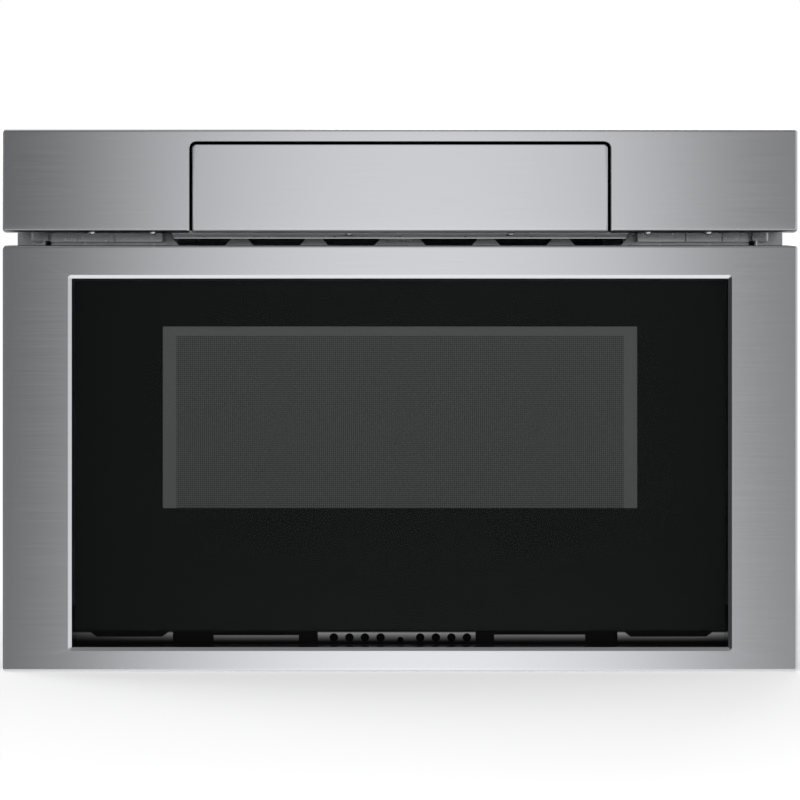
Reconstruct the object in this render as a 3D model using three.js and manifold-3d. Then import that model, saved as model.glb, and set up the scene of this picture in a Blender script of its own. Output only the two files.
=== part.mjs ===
// A built-in microwave drawer, 24-inch size, as an assembly of its real pieces.
// Millimetres. +X is right as seen from the kitchen, the front faces -Y, +Z is up.
// The origin lies under the base pan, on the centreline, in the plane of the cabinet's face.

import * as THREE from 'three';
import { mergeVertices } from 'three/addons/utils/BufferGeometryUtils.js';
import Module from 'manifold-3d';

const wasm = await Module();
wasm.setup();

// ---------------------------------------------------------------- driving dimensions

const SEAT = 0.3; // gap between two pieces that touch
const SHEET = 1.2; // chassis sheet steel
const THIN_SHEET = 1; // cavity, ducts and covers
const FRONT_SHEET = 1.5; // stainless fronts
const ROUND = 24; // sides of a round piece that shows
const ROUND_SMALL = 12; // sides of a small round piece or hole

// The fronts, as they hang in front of the cabinet's face
const FRONT_WIDTH = 606.4;
const FRONT_PLANE = 61; // how far the stainless fronts stand ahead of the cabinet's face
const FRONT_EDGE_RADIUS = 2;
const DRAWER_FRONT_BOTTOM = -12.7; // it overlaps the cabinet below the opening
const DRAWER_FRONT_HEIGHT = 324.7;
const FRONT_GAP = 9.9; // between the drawer front and the control panel
const FASCIA_HEIGHT = 78.5;

// The steel frame round the dark glass
const FRAME_DEPTH = 20;
const FRAME_SIDE = 50.3;
const FRAME_TOP = 22.8;
const FRAME_BOTTOM = 15.6;
const INNER_BEVEL = 2.6;
const INNER_BEVEL_DEPTH = 3;
const GLASS_THICKNESS = 4;
const GLASS_SETBACK = 3.3;
const GLASS_TO_FRAME_BOTTOM = 11.6; // the air recess under the glass
const WINDOW_SIDE_MARGIN = 68.4; // from the glass's edge to the window
const WINDOW_TOP_MARGIN = 36;
const WINDOW_BOTTOM_MARGIN = 94.1;
const WINDOW_BORDER = 10;
const WINDOW_CORNER = 6;
const SCREEN_THICKNESS = 0.8;

// The control panel's tilting flap
const NOTCH_WIDTH = 320.8;
const NOTCH_STRIP = 9.6; // steel left above the notch
const NOTCH_RADIUS = 5;
const FLAP_REVEAL = 1.9;
const FLAP_RADIUS = 3.4;
const FLAP_RETURN = 10;
const PIVOT_SETBACK = 7; // the pivot's distance behind the front plane
const PIVOT_HEIGHT = 5.5; // the pivot's height above the fascia's lower edge
const PIVOT_RADIUS = 3;
const PIVOT_PLAY = 0.4;
const TRAY_MARGIN_X = 14.4; // how far the tray reaches past each side of the notch
const TRAY_HEM = 8;
const FASCIA_RETURN = 6; // depth of the fold along the fascia's lower edge
const SIDE_FOLD_LIFT = 7; // the fascia's side folds begin this far above its lower edge
const LIP_DEPTH = 12; // the tray's sloped front lip, front to back
const LIP_DROP = 2.5;

// The body behind the cabinet's face
const BODY_WIDTH = 556;
const BODY_DROP = 27.4; // the case's top below the control panel's top
const BODY_DEPTH = 586;
const PAN_FLANGE = 18;
const PAN_LIP = 8; // how far the pan reaches ahead of the cabinet's face
const PAN_LIP_WIDTH = 480;
const FLANGE_SHEET = 1.5;

// The oven cavity
const CAVITY_WIDTH = 464;
const CAVITY_FLOOR = 62;
const CAVITY_OVERLAP = 26; // the choke laps over the cavity's edge by this much
const REAR_SPACE = 134; // from the cavity's back wall to the rear cover

// The drawer's bin, the choke round it and the glass tray
const BIN_CLEARANCE = 6; // to the cavity's sides, floor and roof
const BIN_BACK_CLEARANCE = 14;
const BIN_WALL = 2;
const BIN_SIDE_DROP = 48; // how much lower the bin's sides are than its front wall
const BIN_CORNER = 14;
const CHOKE_TOP_MARGIN = 18; // below the drawer front's upper edge
const DOOR_GAP = 0.5; // between the closed drawer's choke and the flange
const TRAY_THICKNESS = 6;
const TRAY_MARGIN = 16;
const TRAY_RIM = 9;
const TRAY_DISH = 2.5;
const INNER_GLASS_THICKNESS = 1.9;

// Telescopic runners
const RAIL_START = 4;
const RAIL_END_MARGIN = 8; // short of the cavity's back wall
const TRAVEL_SHARE = 0.875; // of the runners' length
const RAIL_BOTTOM = 75;
const RAIL_HEIGHT = 45;
const RAIL_SHEET = 1.5;
const RAIL_DEPTH = 14.5;
const RAIL_PLAY = 0.5;
const ARM_FOOT_SETBACK = 4;
const ARM_HOLES = 3;

// Rack and pinion drive
const DRIVE_MODULE = 2;
const DRIVE_TEETH = 18;
const DRIVE_Y = 24;
const DRIVE_Z = 24;
const DRIVE_FACE = 10;
const DRIVE_BACKLASH = 0.4;
const RACK_BODY = 8;
const PRESSURE_ANGLE = THREE.MathUtils.degToRad(20);
const DRIVE_SHAFT_RADIUS = 3;
const SHAFT_PLAY = 0.3;
const MOTOR_RADIUS = 17;
const MOTOR_LENGTH = 52;

// Tilt drive of the control console
const TILT_MODULE = 1;
const SECTOR_TEETH = 54; // of the full circle
const TILT_PINION_TEETH = 12;
const TILT_TRAVEL = 45; // degrees
const TILT_FACE = 4;
const TILT_BACKLASH = 0.3;
const MESH_ANGLE = 45; // degrees up from the back, where sector and pinion meet

// Microwave and air pieces
const WAVEGUIDE_WIDTH = 96;
const WAVEGUIDE_HEIGHT = 31;
const STIRRER_RADIUS = 62;
const MAGNETRON_SETBACK = 68; // behind the cavity's back wall
const BLOWER_SETBACK = 70;
const BLOWER_Z = 150;
const BLOWER_X = 90;
const BLOWER_WIDTH = 50;
const BLOWER_INNER = 44;
const BLOWER_GROWTH = 12;
const BLOWER_OUTLET = 66; // height of its mouth over the wheel's axis
const WHEEL_RADIUS = 38;
const WHEEL_BLADES = 20;
const VENT_COUNT = 6;
const VENT_PITCH = 59.15;
const VENT_MIDDLE_GAP = 9.1; // extra half gap at the centreline
const VENT_WIDTH = 46;
const VENT_TAPER = 3.5;
const VENT_CLIP = 1.2;
const VENT_DROP = 5.2; // below the control panel's lower edge
const VENT_RISE = 18.1;

// ---------------------------------------------------------------- places worked out from them

const HALF_FRONT = FRONT_WIDTH / 2;
const FRONT_Y = -FRONT_PLANE;
const DRAWER_FRONT_TOP = DRAWER_FRONT_BOTTOM + DRAWER_FRONT_HEIGHT;
const FASCIA_BOTTOM = DRAWER_FRONT_TOP + FRONT_GAP;
const FASCIA_TOP = FASCIA_BOTTOM + FASCIA_HEIGHT;
const FRAME_BACK = FRONT_Y + FRAME_DEPTH;
const FLANGE_FRONT = -FLANGE_SHEET;
const OPENING_HALF = HALF_FRONT - FRAME_SIDE - INNER_BEVEL; // the frame's clear opening
const OPENING_BOTTOM = DRAWER_FRONT_BOTTOM + FRAME_BOTTOM + INNER_BEVEL;
const OPENING_TOP = DRAWER_FRONT_TOP - FRAME_TOP - INNER_BEVEL;
const GLASS_FRONT = FRONT_Y + GLASS_SETBACK;
const GLASS_BACK = GLASS_FRONT + GLASS_THICKNESS;
const GLASS_HALF = OPENING_HALF - SEAT;
const GLASS_BOTTOM = OPENING_BOTTOM + GLASS_TO_FRAME_BOTTOM;
const GLASS_TOP = OPENING_TOP - SEAT;
const WINDOW_HALF = GLASS_HALF - WINDOW_SIDE_MARGIN;
const WINDOW_Z = [GLASS_BOTTOM + WINDOW_BOTTOM_MARGIN, GLASS_TOP - WINDOW_TOP_MARGIN];
const NOTCH_TOP = FASCIA_TOP - NOTCH_STRIP;
const FLAP_HALF = NOTCH_WIDTH / 2 - FLAP_REVEAL;
const FLAP_TOP = NOTCH_TOP - FLAP_REVEAL;
const PIVOT_Y = FRONT_Y + PIVOT_SETBACK;
const PIVOT_Z = FASCIA_BOTTOM + PIVOT_HEIGHT;
const TRAY_HALF = NOTCH_WIDTH / 2 + TRAY_MARGIN_X;
const BODY_HALF = BODY_WIDTH / 2;
const BODY_HEIGHT = FASCIA_TOP - BODY_DROP;
const CAVITY_HALF = CAVITY_WIDTH / 2;
const CHOKE_HALF = CAVITY_HALF + CAVITY_OVERLAP;
const CHOKE_BOTTOM = CAVITY_FLOOR - CAVITY_OVERLAP;
const CHOKE_TOP = DRAWER_FRONT_TOP - CHOKE_TOP_MARGIN;
const CAVITY_TOP = CHOKE_TOP - CAVITY_OVERLAP;
const CAVITY_ROOF = CAVITY_TOP + THIN_SHEET;
const CAVITY_DEPTH = BODY_DEPTH - REAR_SPACE;
const BIN_HALF = CAVITY_HALF - BIN_CLEARANCE;
const BIN_FLOOR = CAVITY_FLOOR + BIN_CLEARANCE;
const BIN_TOP = CAVITY_TOP - BIN_CLEARANCE; // of its front wall
const BIN_BACK = CAVITY_DEPTH - BIN_BACK_CLEARANCE;
const RAIL_END = CAVITY_DEPTH - RAIL_END_MARGIN;
const SLIDE_TRAVEL = (RAIL_END - RAIL_START) * TRAVEL_SHARE;
const STIRRER_Y = CAVITY_DEPTH / 2;
const MAGNETRON_Y = CAVITY_DEPTH + MAGNETRON_SETBACK;
const BLOWER_Y = CAVITY_DEPTH + BLOWER_SETBACK;
const CHOKE_FRONT = FRAME_BACK + SEAT;
const BIN_FRONT = CHOKE_FRONT + SHEET + INNER_GLASS_THICKNESS + 2 * SEAT; // inside the choke
const CHOKE_BACK = FLANGE_FRONT - DOOR_GAP;
const RAIL_WEB = BODY_HALF - THIN_SHEET - SEAT; // outer face of the outer runner
const RAIL_STEP = RAIL_SHEET + RAIL_PLAY;
const ARM_OUTER = RAIL_WEB - 3 * RAIL_STEP + RAIL_PLAY - SEAT;
const DRIVE_RADIUS = (DRIVE_MODULE * DRIVE_TEETH) / 2;
const SECTOR_RADIUS = (TILT_MODULE * SECTOR_TEETH) / 2;
const TILT_PINION_RADIUS = (TILT_MODULE * TILT_PINION_TEETH) / 2;
const HOUSING_HALF = FLAP_HALF - FRONT_SHEET - 2;
const SECTOR_X = FLAP_HALF + 1;
const BACK_Y = BODY_DEPTH - THIN_SHEET; // front face of the rear cover

// ---------------------------------------------------------------- finishes

const FINISH = {
  stainless: { color: 0xc3c5c9, roughness: 0.32, metalness: 1 },
  zinc: { color: 0x9a9ca0, roughness: 0.5, metalness: 0.9 },
  enamel: { color: 0x8d8f8e, roughness: 0.45, metalness: 0.1 },
  glass: { color: 0x121514, roughness: 0.05, metalness: 0 },
  blackSteel: { color: 0x17181a, roughness: 0.55, metalness: 0.2 },
  blackPlastic: { color: 0x1c1c1e, roughness: 0.6, metalness: 0 },
  greyPlastic: { color: 0x5d6064, roughness: 0.6, metalness: 0 },
  whitePlastic: { color: 0xd9d9d4, roughness: 0.6, metalness: 0 },
  board: { color: 0x2d5b3a, roughness: 0.7, metalness: 0 },
  copper: { color: 0xa0562e, roughness: 0.4, metalness: 0.9 },
  laminations: { color: 0x4c4a48, roughness: 0.6, metalness: 0.6 },
};

// ---------------------------------------------------------------- solids

function solidOf(geometry) {
  geometry.deleteAttribute('normal');
  geometry.deleteAttribute('uv');
  const merged = mergeVertices(geometry, 1e-4);
  const vertProperties = Float32Array.from(merged.attributes.position.array);
  const triVerts = Uint32Array.from(merged.index.array);
  return new wasm.Manifold(new wasm.Mesh({ numProp: 3, vertProperties, triVerts }));
}

function geometryOf(solid) {
  const { vertProperties, triVerts } = solid.getMesh();
  const geometry = new THREE.BufferGeometry();
  geometry.setAttribute('position', new THREE.BufferAttribute(vertProperties, 3));
  geometry.setIndex(new THREE.BufferAttribute(triVerts, 1));
  geometry.computeVertexNormals();
  return geometry;
}

function joined(first, ...others) {
  return others.reduce((solid, other) => solid.add(other), first);
}

function cut(first, ...tools) {
  return tools.reduce((solid, tool) => solid.subtract(tool), first);
}

function block([x0, x1], [y0, y1], [z0, z1]) {
  const geometry = new THREE.BoxGeometry(x1 - x0, y1 - y0, z1 - z0);
  geometry.translate((x0 + x1) / 2, (y0 + y1) / 2, (z0 + z1) / 2);
  return solidOf(geometry);
}

// The plane that an outline is drawn in, by the axis that it is extruded along:
// along x it is drawn in (y, z), along y in (x, z) and along z in (x, y).
const BASIS = {
  x: [new THREE.Vector3(0, 1, 0), new THREE.Vector3(0, 0, 1), new THREE.Vector3(1, 0, 0)],
  y: [new THREE.Vector3(1, 0, 0), new THREE.Vector3(0, 0, 1), new THREE.Vector3(0, -1, 0)],
  z: [new THREE.Vector3(1, 0, 0), new THREE.Vector3(0, 1, 0), new THREE.Vector3(0, 0, 1)],
};

function extruded(shape, axis, [from, to], options = {}) {
  const settings = { depth: to - from, bevelEnabled: false, curveSegments: 2, ...options };
  const geometry = new THREE.ExtrudeGeometry(shape, settings);
  geometry.applyMatrix4(new THREE.Matrix4().makeBasis(...BASIS[axis]));
  const start = axis === 'y' ? to : from;
  geometry.translate(axis === 'x' ? start : 0, axis === 'y' ? start : 0, axis === 'z' ? start : 0);
  return solidOf(geometry);
}

function rectangle([u0, u1], [v0, v1], radius = 0) {
  const shape = new THREE.Shape();
  if (radius === 0) {
    shape.setFromPoints([
      new THREE.Vector2(u0, v0),
      new THREE.Vector2(u1, v0),
      new THREE.Vector2(u1, v1),
      new THREE.Vector2(u0, v1),
    ]);
    return shape;
  }
  shape.moveTo(u0 + radius, v0);
  shape.lineTo(u1 - radius, v0);
  shape.absarc(u1 - radius, v0 + radius, radius, -Math.PI / 2, 0);
  shape.lineTo(u1, v1 - radius);
  shape.absarc(u1 - radius, v1 - radius, radius, 0, Math.PI / 2);
  shape.lineTo(u0 + radius, v1);
  shape.absarc(u0 + radius, v1 - radius, radius, Math.PI / 2, Math.PI);
  shape.lineTo(u0, v0 + radius);
  shape.absarc(u0 + radius, v0 + radius, radius, Math.PI, 1.5 * Math.PI);
  return shape;
}

function polygon(points) {
  return new THREE.Shape(points.map(([u, v]) => new THREE.Vector2(u, v)));
}

// A plate with its front edges rounded: its face looks to -Y at y0.
function roundedFront([x0, x1], [y0, y1], [z0, z1], radius) {
  const shape = rectangle([x0, x1], [z0, z1], radius + 0.3);
  const bevel = {
    bevelEnabled: true,
    bevelSize: radius,
    bevelOffset: -radius,
    bevelThickness: radius,
    bevelSegments: 3,
    depth: y1 - y0,
  };
  const long = extruded(shape, 'y', [y0 + radius, y1 + radius], bevel);
  return cut(long, block([x0 - 1, x1 + 1], [y1, y1 + 3 * radius], [z0 - 1, z1 + 1]));
}

function rod(radius, axis, [from, to], [u, v], sides = ROUND_SMALL) {
  const shape = new THREE.Shape();
  shape.absarc(u, v, radius, 0, 2 * Math.PI);
  return extruded(shape, axis, [from, to], { curveSegments: sides / 2 });
}

// ---------------------------------------------------------------- teeth

// Half the angle that one tooth takes at a radius, for an involute gear.
function halfTooth(radius, teeth, module, backlash) {
  const pitchRadius = (module * teeth) / 2;
  const baseRadius = pitchRadius * Math.cos(PRESSURE_ANGLE);
  const involute = (angle) => Math.tan(angle) - angle;
  const angleHere = Math.acos(Math.min(1, baseRadius / radius));
  const atPitch = Math.PI / (2 * teeth) - backlash / (4 * pitchRadius);
  return atPitch + involute(PRESSURE_ANGLE) - involute(angleHere);
}

// Outline points of the teeth from index first to last, tooth 0 centred on angle zero.
function toothPoints(teeth, module, backlash, first, last) {
  const pitchRadius = (module * teeth) / 2;
  const baseRadius = pitchRadius * Math.cos(PRESSURE_ANGLE);
  const rootRadius = pitchRadius - 1.25 * module;
  const tipRadius = pitchRadius + module;
  const flank = [rootRadius, Math.max(baseRadius, rootRadius + 0.1), pitchRadius, tipRadius];
  const points = [];
  for (let index = first; index <= last; index += 1) {
    const centre = (index * 2 * Math.PI) / teeth;
    const side = (radius, sign) => {
      const angle = centre + sign * halfTooth(radius, teeth, module, backlash);
      return [radius * Math.cos(angle), radius * Math.sin(angle)];
    };
    flank.forEach((radius) => points.push(side(radius, -1)));
    [...flank].reverse().forEach((radius) => points.push(side(radius, 1)));
  }
  return points;
}

// ---------------------------------------------------------------- scene graph

function piece(name, solid, finish, group) {
  const mesh = new THREE.Mesh(geometryOf(solid), new THREE.MeshStandardMaterial(FINISH[finish]));
  mesh.name = name;
  group.add(mesh);
  return mesh;
}

const chassis = new THREE.Group();
const drawer = new THREE.Group();
const runners = new THREE.Group();
const consoleGroup = new THREE.Group();
const SIDES = { left: -1, right: 1 };

function span(side, inner, outer) {
  return side > 0 ? [inner, outer] : [-outer, -inner];
}

// ---------------------------------------------------------------- chassis

function basePan() {
  const half = BODY_HALF - THIN_SHEET - SEAT;
  const back = BACK_Y - SEAT;
  const outer = block([-half, half], [0, back], [0, PAN_FLANGE]);
  const inside = block([-half + SHEET, half - SHEET], [-1, back - SHEET], [SHEET, PAN_FLANGE + 1]);
  const lip = block([-PAN_LIP_WIDTH / 2, PAN_LIP_WIDTH / 2], [-PAN_LIP, 1], [0, SHEET]);
  const slots = airSlots(8, 2, [40, BACK_Y - 100], [11, 44], [4, 32]);
  const tool = slots.map((slot) => extruded(slot, 'z', [-1, SHEET + 1]));
  return cut(joined(cut(outer, inside), lip), ...tool);
}

// Air slots with clipped corners, in rows: start corner, step between slots, size of one slot.
function airSlots(columns, rows, [u, v], [stepU, stepV], [width, height]) {
  const clip = Math.min(width, height) * 0.3;
  const slots = [];
  for (let column = 0; column < columns; column += 1) {
    for (let row = 0; row < rows; row += 1) {
      const left = u + column * stepU;
      const right = left + width;
      const low = v + row * stepV;
      const high = low + height;
      slots.push(
        polygon([
          [left + clip, low],
          [right - clip, low],
          [right, low + clip],
          [right, high - clip],
          [right - clip, high],
          [left + clip, high],
          [left, high - clip],
          [left, low + clip],
        ]),
      );
    }
  }
  return slots;
}

function outerWrap() {
  const outer = block([-BODY_HALF, BODY_HALF], [SEAT, BACK_Y - SEAT], [SEAT, BODY_HEIGHT]);
  const inside = block(
    [-BODY_HALF + THIN_SHEET, BODY_HALF - THIN_SHEET],
    [-1, BODY_DEPTH],
    [-1, BODY_HEIGHT - THIN_SHEET],
  );
  const slots = airSlots(6, 1, [BACK_Y - 110, 150], [12, 0], [5, 60]);
  const tools = slots.map((slot) =>
    extruded(slot, 'x', [-BODY_HALF - 1, BODY_HALF + 1]),
  );
  return cut(outer, inside, ...tools);
}

const GLAND_X = -210;
const GLAND_Z = 60;
const GLAND_RADIUS = 11;
const REAR_SLOT = [130, 5];
const REAR_SLOT_ROWS = 9;
const REAR_SLOT_PITCH = 13;
const REAR_BANKS = [[20, 92], [-210, 210]]; // left end and lowest slot of each bank

function rearCover() {
  const plate = block([-BODY_HALF, BODY_HALF], [BACK_Y, BODY_DEPTH], [SEAT, BODY_HEIGHT]);
  const banks = REAR_BANKS.map((place) =>
    airSlots(1, REAR_SLOT_ROWS, place, [0, REAR_SLOT_PITCH], REAR_SLOT),
  );
  const tools = banks.flat().map((slot) =>
    extruded(slot, 'y', [BACK_Y - 1, BODY_DEPTH + 1]),
  );
  const gland = rod(GLAND_RADIUS, 'y', [BACK_Y - 1, BODY_DEPTH + 1], [GLAND_X, GLAND_Z], 16);
  return cut(plate, gland, ...tools);
}

// A snap-in bushing: a wide lip outside, a neck through the cover and a nut inside.
function cordGland() {
  const bore = GLAND_RADIUS - 5;
  const neck = GLAND_RADIUS - SEAT;
  const profile = [
    [bore, -14],
    [neck - 1.5, -14],
    [neck, -2],
    [neck + 4, -2],
    [neck + 4, -SEAT],
    [neck, -SEAT],
    [neck, THIN_SHEET + SEAT],
    [neck + 3, THIN_SHEET + SEAT],
    [neck + 1.5, 5],
    [bore + 1.5, 5],
    [bore, 3.5],
    [bore, -14],
  ];
  const points = profile.map(([radius, along]) => new THREE.Vector2(radius, along));
  return solidOf(new THREE.LatheGeometry(points, 16));
}

const VENT_CENTRES = [...Array(VENT_COUNT).keys()].map((index) => {
  const step = index - (VENT_COUNT - 1) / 2;
  return step * VENT_PITCH + Math.sign(step) * VENT_MIDDLE_GAP;
});

function ventShape(centre) {
  const top = VENT_WIDTH / 2;
  const bottom = top - VENT_TAPER;
  const knee = FASCIA_BOTTOM;
  const low = knee - VENT_DROP;
  return polygon([
    [centre - bottom + VENT_CLIP, low],
    [centre + bottom - VENT_CLIP, low],
    [centre + bottom, low + VENT_CLIP],
    [centre + top, knee],
    [centre + top, knee + VENT_RISE],
    [centre - top, knee + VENT_RISE],
    [centre - top, knee],
    [centre - bottom, low + VENT_CLIP],
  ]);
}

const SCREW_HEIGHT_SHARES = [0.2, 0.6, 1]; // of the choke's top height
const SCREW_HOLE = 5;
const SCREW_INSET = 11;
const HOOK_X = (CAVITY_HALF + BODY_HALF) / 2 - 8;
const HOOK_Z = 146;
const HOOK_THICKNESS = 4;
const HOOK_HEIGHT = 14;

// The pressed mounting flange: everything on the chassis is fixed to it, and its back face
// lies on the cabinet.
function frontFlange() {
  const thickness = [FLANGE_FRONT, 0];
  const through = [FLANGE_FRONT - 1, 1];
  const floor = SHEET + SEAT;
  const ceiling = FASCIA_TOP - FRONT_SHEET - SEAT;
  const plate = extruded(rectangle([-HALF_FRONT, HALF_FRONT], [floor, ceiling]), 'y', thickness);
  const aperture = block([-CAVITY_HALF, CAVITY_HALF], through, [CAVITY_FLOOR, CAVITY_TOP]);
  const rackZ = DRIVE_Z + DRIVE_RADIUS;
  const rackSlot = block(
    [-DRIVE_FACE / 2 - 3, DRIVE_FACE / 2 + 3],
    through,
    [rackZ - DRIVE_MODULE - 2, rackZ + 1.25 * DRIVE_MODULE + RACK_BODY + 2],
  );
  const tools = [aperture, rackSlot];
  for (const side of Object.values(SIDES)) {
    const web = RAIL_WEB - RAIL_STEP + RAIL_PLAY / 2;
    const low = RAIL_BOTTOM + RAIL_SHEET;
    const high = RAIL_BOTTOM + RAIL_HEIGHT - RAIL_SHEET;
    tools.push(block(span(side, RAIL_WEB - RAIL_DEPTH - 2, web), through, [low, high]));
    tools.push(
      block(
        span(side, HOOK_X - HOOK_THICKNESS, HOOK_X + HOOK_THICKNESS),
        through,
        [HOOK_Z - HOOK_HEIGHT, HOOK_Z + HOOK_HEIGHT],
      ),
    );
    for (const share of SCREW_HEIGHT_SHARES) {
      tools.push(rod(SCREW_HOLE / 2, 'y', through, [side * (HALF_FRONT - SCREW_INSET), share * CHOKE_TOP], 8));
    }
  }
  const vents = VENT_CENTRES.map((centre) => extruded(ventShape(centre), 'y', through));
  return cut(plate, ...tools, ...vents);
}

const BRACKET_INNER = TRAY_HALF + 11.5;
const BRACKET_OUTER = HALF_FRONT - 28.7;
const BRACKET_BOTTOM = FASCIA_BOTTOM - 3.3;
const BRACKET_HEIGHT = 54;
const BRACKET_DEPTH = 12;
const BRACKET_GROOVE_SHARES = [0.43, 0.76]; // of the plate's width
const BRACKET_GROOVE = 1.2;
const END_BOX_OUTER = HALF_FRONT - 14.9;
const END_BOX_DEPTH = 20;

// A pressed steel plate that stiffens the flange behind the end of the control panel.
function flangeBracket(side) {
  const face = FLANGE_FRONT - SEAT - BRACKET_DEPTH;
  const back = FLANGE_FRONT - SEAT;
  const height = [BRACKET_BOTTOM, BRACKET_BOTTOM + BRACKET_HEIGHT];
  const body = block(span(side, BRACKET_INNER, BRACKET_OUTER), [face, back], height);
  const hollow = block(
    span(side, BRACKET_INNER + SHEET, BRACKET_OUTER - SHEET),
    [face + SHEET, back + 1],
    [BRACKET_BOTTOM + SHEET, BRACKET_BOTTOM + BRACKET_HEIGHT + 1],
  );
  const end = block(
    span(side, BRACKET_OUTER - SHEET, END_BOX_OUTER),
    [back - END_BOX_DEPTH, back],
    height,
  );
  const grooves = BRACKET_GROOVE_SHARES.map((share) => {
    const x = BRACKET_INNER + share * (BRACKET_OUTER - BRACKET_INNER);
    const across = span(side, x - BRACKET_GROOVE / 2, x + BRACKET_GROOVE / 2);
    return block(across, [face - 1, face + SHEET / 2], [0, FASCIA_TOP]);
  });
  return cut(joined(cut(body, hollow), end), ...grooves);
}

// The stainless control panel: a folded cover with a notch for the flap.
function fascia() {
  const height = [FASCIA_BOTTOM, FASCIA_TOP];
  const back = FLANGE_FRONT - SEAT;
  const cover = roundedFront([-HALF_FRONT, HALF_FRONT], [FRONT_Y, back], height, FRONT_EDGE_RADIUS);
  const inside = block(
    [-HALF_FRONT + FRONT_SHEET, HALF_FRONT - FRONT_SHEET],
    [FRONT_Y + FRONT_SHEET, 1],
    [FASCIA_BOTTOM + FRONT_SHEET, FASCIA_TOP - FRONT_SHEET],
  );
  const floorCut = block(
    [-HALF_FRONT - 1, HALF_FRONT + 1],
    [FRONT_Y + FASCIA_RETURN, 1],
    [FASCIA_BOTTOM - 1, FASCIA_BOTTOM + SIDE_FOLD_LIFT],
  );
  const pivotCut = block(
    [-TRAY_HALF - 3, TRAY_HALF + 3],
    [FRONT_Y + FRONT_SHEET, 1],
    [FASCIA_BOTTOM - 1, FASCIA_BOTTOM + FRONT_SHEET + 1],
  );
  const notch = extruded(
    rectangle(
      [-NOTCH_WIDTH / 2, NOTCH_WIDTH / 2],
      [FASCIA_BOTTOM - 2 * NOTCH_RADIUS, NOTCH_TOP],
      NOTCH_RADIUS,
    ),
    'y',
    [FRONT_Y - 1, FRONT_Y + 8],
  );
  return cut(cover, inside, floorCut, pivotCut, notch);
}

// The tray behind the flap: a floor with a sloped lip and a hem, and side walls that carry
// the pivots.
function controlTray() {
  const back = FLANGE_FRONT - SEAT;
  const front = PIVOT_Y + 4;
  const wallFront = FRONT_Y + FRONT_SHEET + SEAT;
  const top = FASCIA_BOTTOM + SHEET;
  const floor = block([-TRAY_HALF, TRAY_HALF], [front, back], [FASCIA_BOTTOM, top]);
  const fold = front + LIP_DEPTH;
  const wedge = polygon([
    [front, FASCIA_BOTTOM],
    [fold, FASCIA_BOTTOM - LIP_DROP],
    [fold, top],
    [front, top],
  ]);
  const lip = extruded(wedge, 'x', [-TRAY_HALF, TRAY_HALF]);
  const hem = block([-TRAY_HALF, TRAY_HALF], [back - SHEET, back], [FASCIA_BOTTOM, FASCIA_BOTTOM + TRAY_HEM]);
  const walls = Object.values(SIDES).map((side) =>
    block(
      span(side, TRAY_HALF - SHEET, TRAY_HALF),
      [wallFront, back],
      [FASCIA_BOTTOM + FRONT_SHEET + SEAT, FASCIA_TOP - FRONT_SHEET - SEAT],
    ),
  );
  const across = [-TRAY_HALF - 1, TRAY_HALF + 1];
  const pivotHoles = rod(PIVOT_RADIUS + PIVOT_PLAY, 'x', across, [PIVOT_Y, PIVOT_Z]);
  const [pinionY, pinionZ] = tiltPinionCentre();
  const shaftHole = rod(TILT_SHAFT_RADIUS + SHAFT_PLAY, 'x', [-TRAY_HALF - 1, 0], [pinionY, pinionZ]);
  return cut(joined(floor, lip, hem, ...walls), pivotHoles, shaftHole);
}

// ---------------------------------------------------------------- cavity and microwave pieces

const APERTURE_WIDTH = 80;
const APERTURE_DEPTH = 56;
const WAVEGUIDE_LIP = 8;
const MAGNETRON_HALF_WIDTH = 40;
const LAMP_Y = CAVITY_DEPTH - 137;
const LAMP_Z = CAVITY_TOP - 53;

// The hole in the cavity's roof, and in the guide above it, over the stirrer.
function roofAperture(heights) {
  const y = [STIRRER_Y - APERTURE_DEPTH / 2, STIRRER_Y + APERTURE_DEPTH / 2];
  return block([-APERTURE_WIDTH / 2, APERTURE_WIDTH / 2], y, heights);
}

function cavityShell() {
  const wall = THIN_SHEET;
  const outer = block(
    [-CAVITY_HALF - wall, CAVITY_HALF + wall],
    [SEAT, CAVITY_DEPTH + wall],
    [CAVITY_FLOOR - wall, CAVITY_ROOF],
  );
  const inside = block([-CAVITY_HALF, CAVITY_HALF], [-1, CAVITY_DEPTH], [CAVITY_FLOOR, CAVITY_TOP]);
  const aperture = roofAperture([CAVITY_TOP - 1, CAVITY_ROOF + 1]);
  const lamp = airSlots(5, 1, [LAMP_Y - 18, LAMP_Z - 12], [8, 0], [4, 24]);
  const lampTools = lamp.map((slot) =>
    extruded(slot, 'x', [CAVITY_HALF - 1, CAVITY_HALF + 2]),
  );
  const exhaust = airSlots(6, 1, [60, CAVITY_TOP - 60], [10, 0], [5, 40]);
  const exhaustTools = exhaust.map((slot) =>
    extruded(slot, 'x', [-CAVITY_HALF - 2, -CAVITY_HALF + 1]),
  );
  return cut(outer, inside, aperture, ...lampTools, ...exhaustTools);
}

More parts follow.
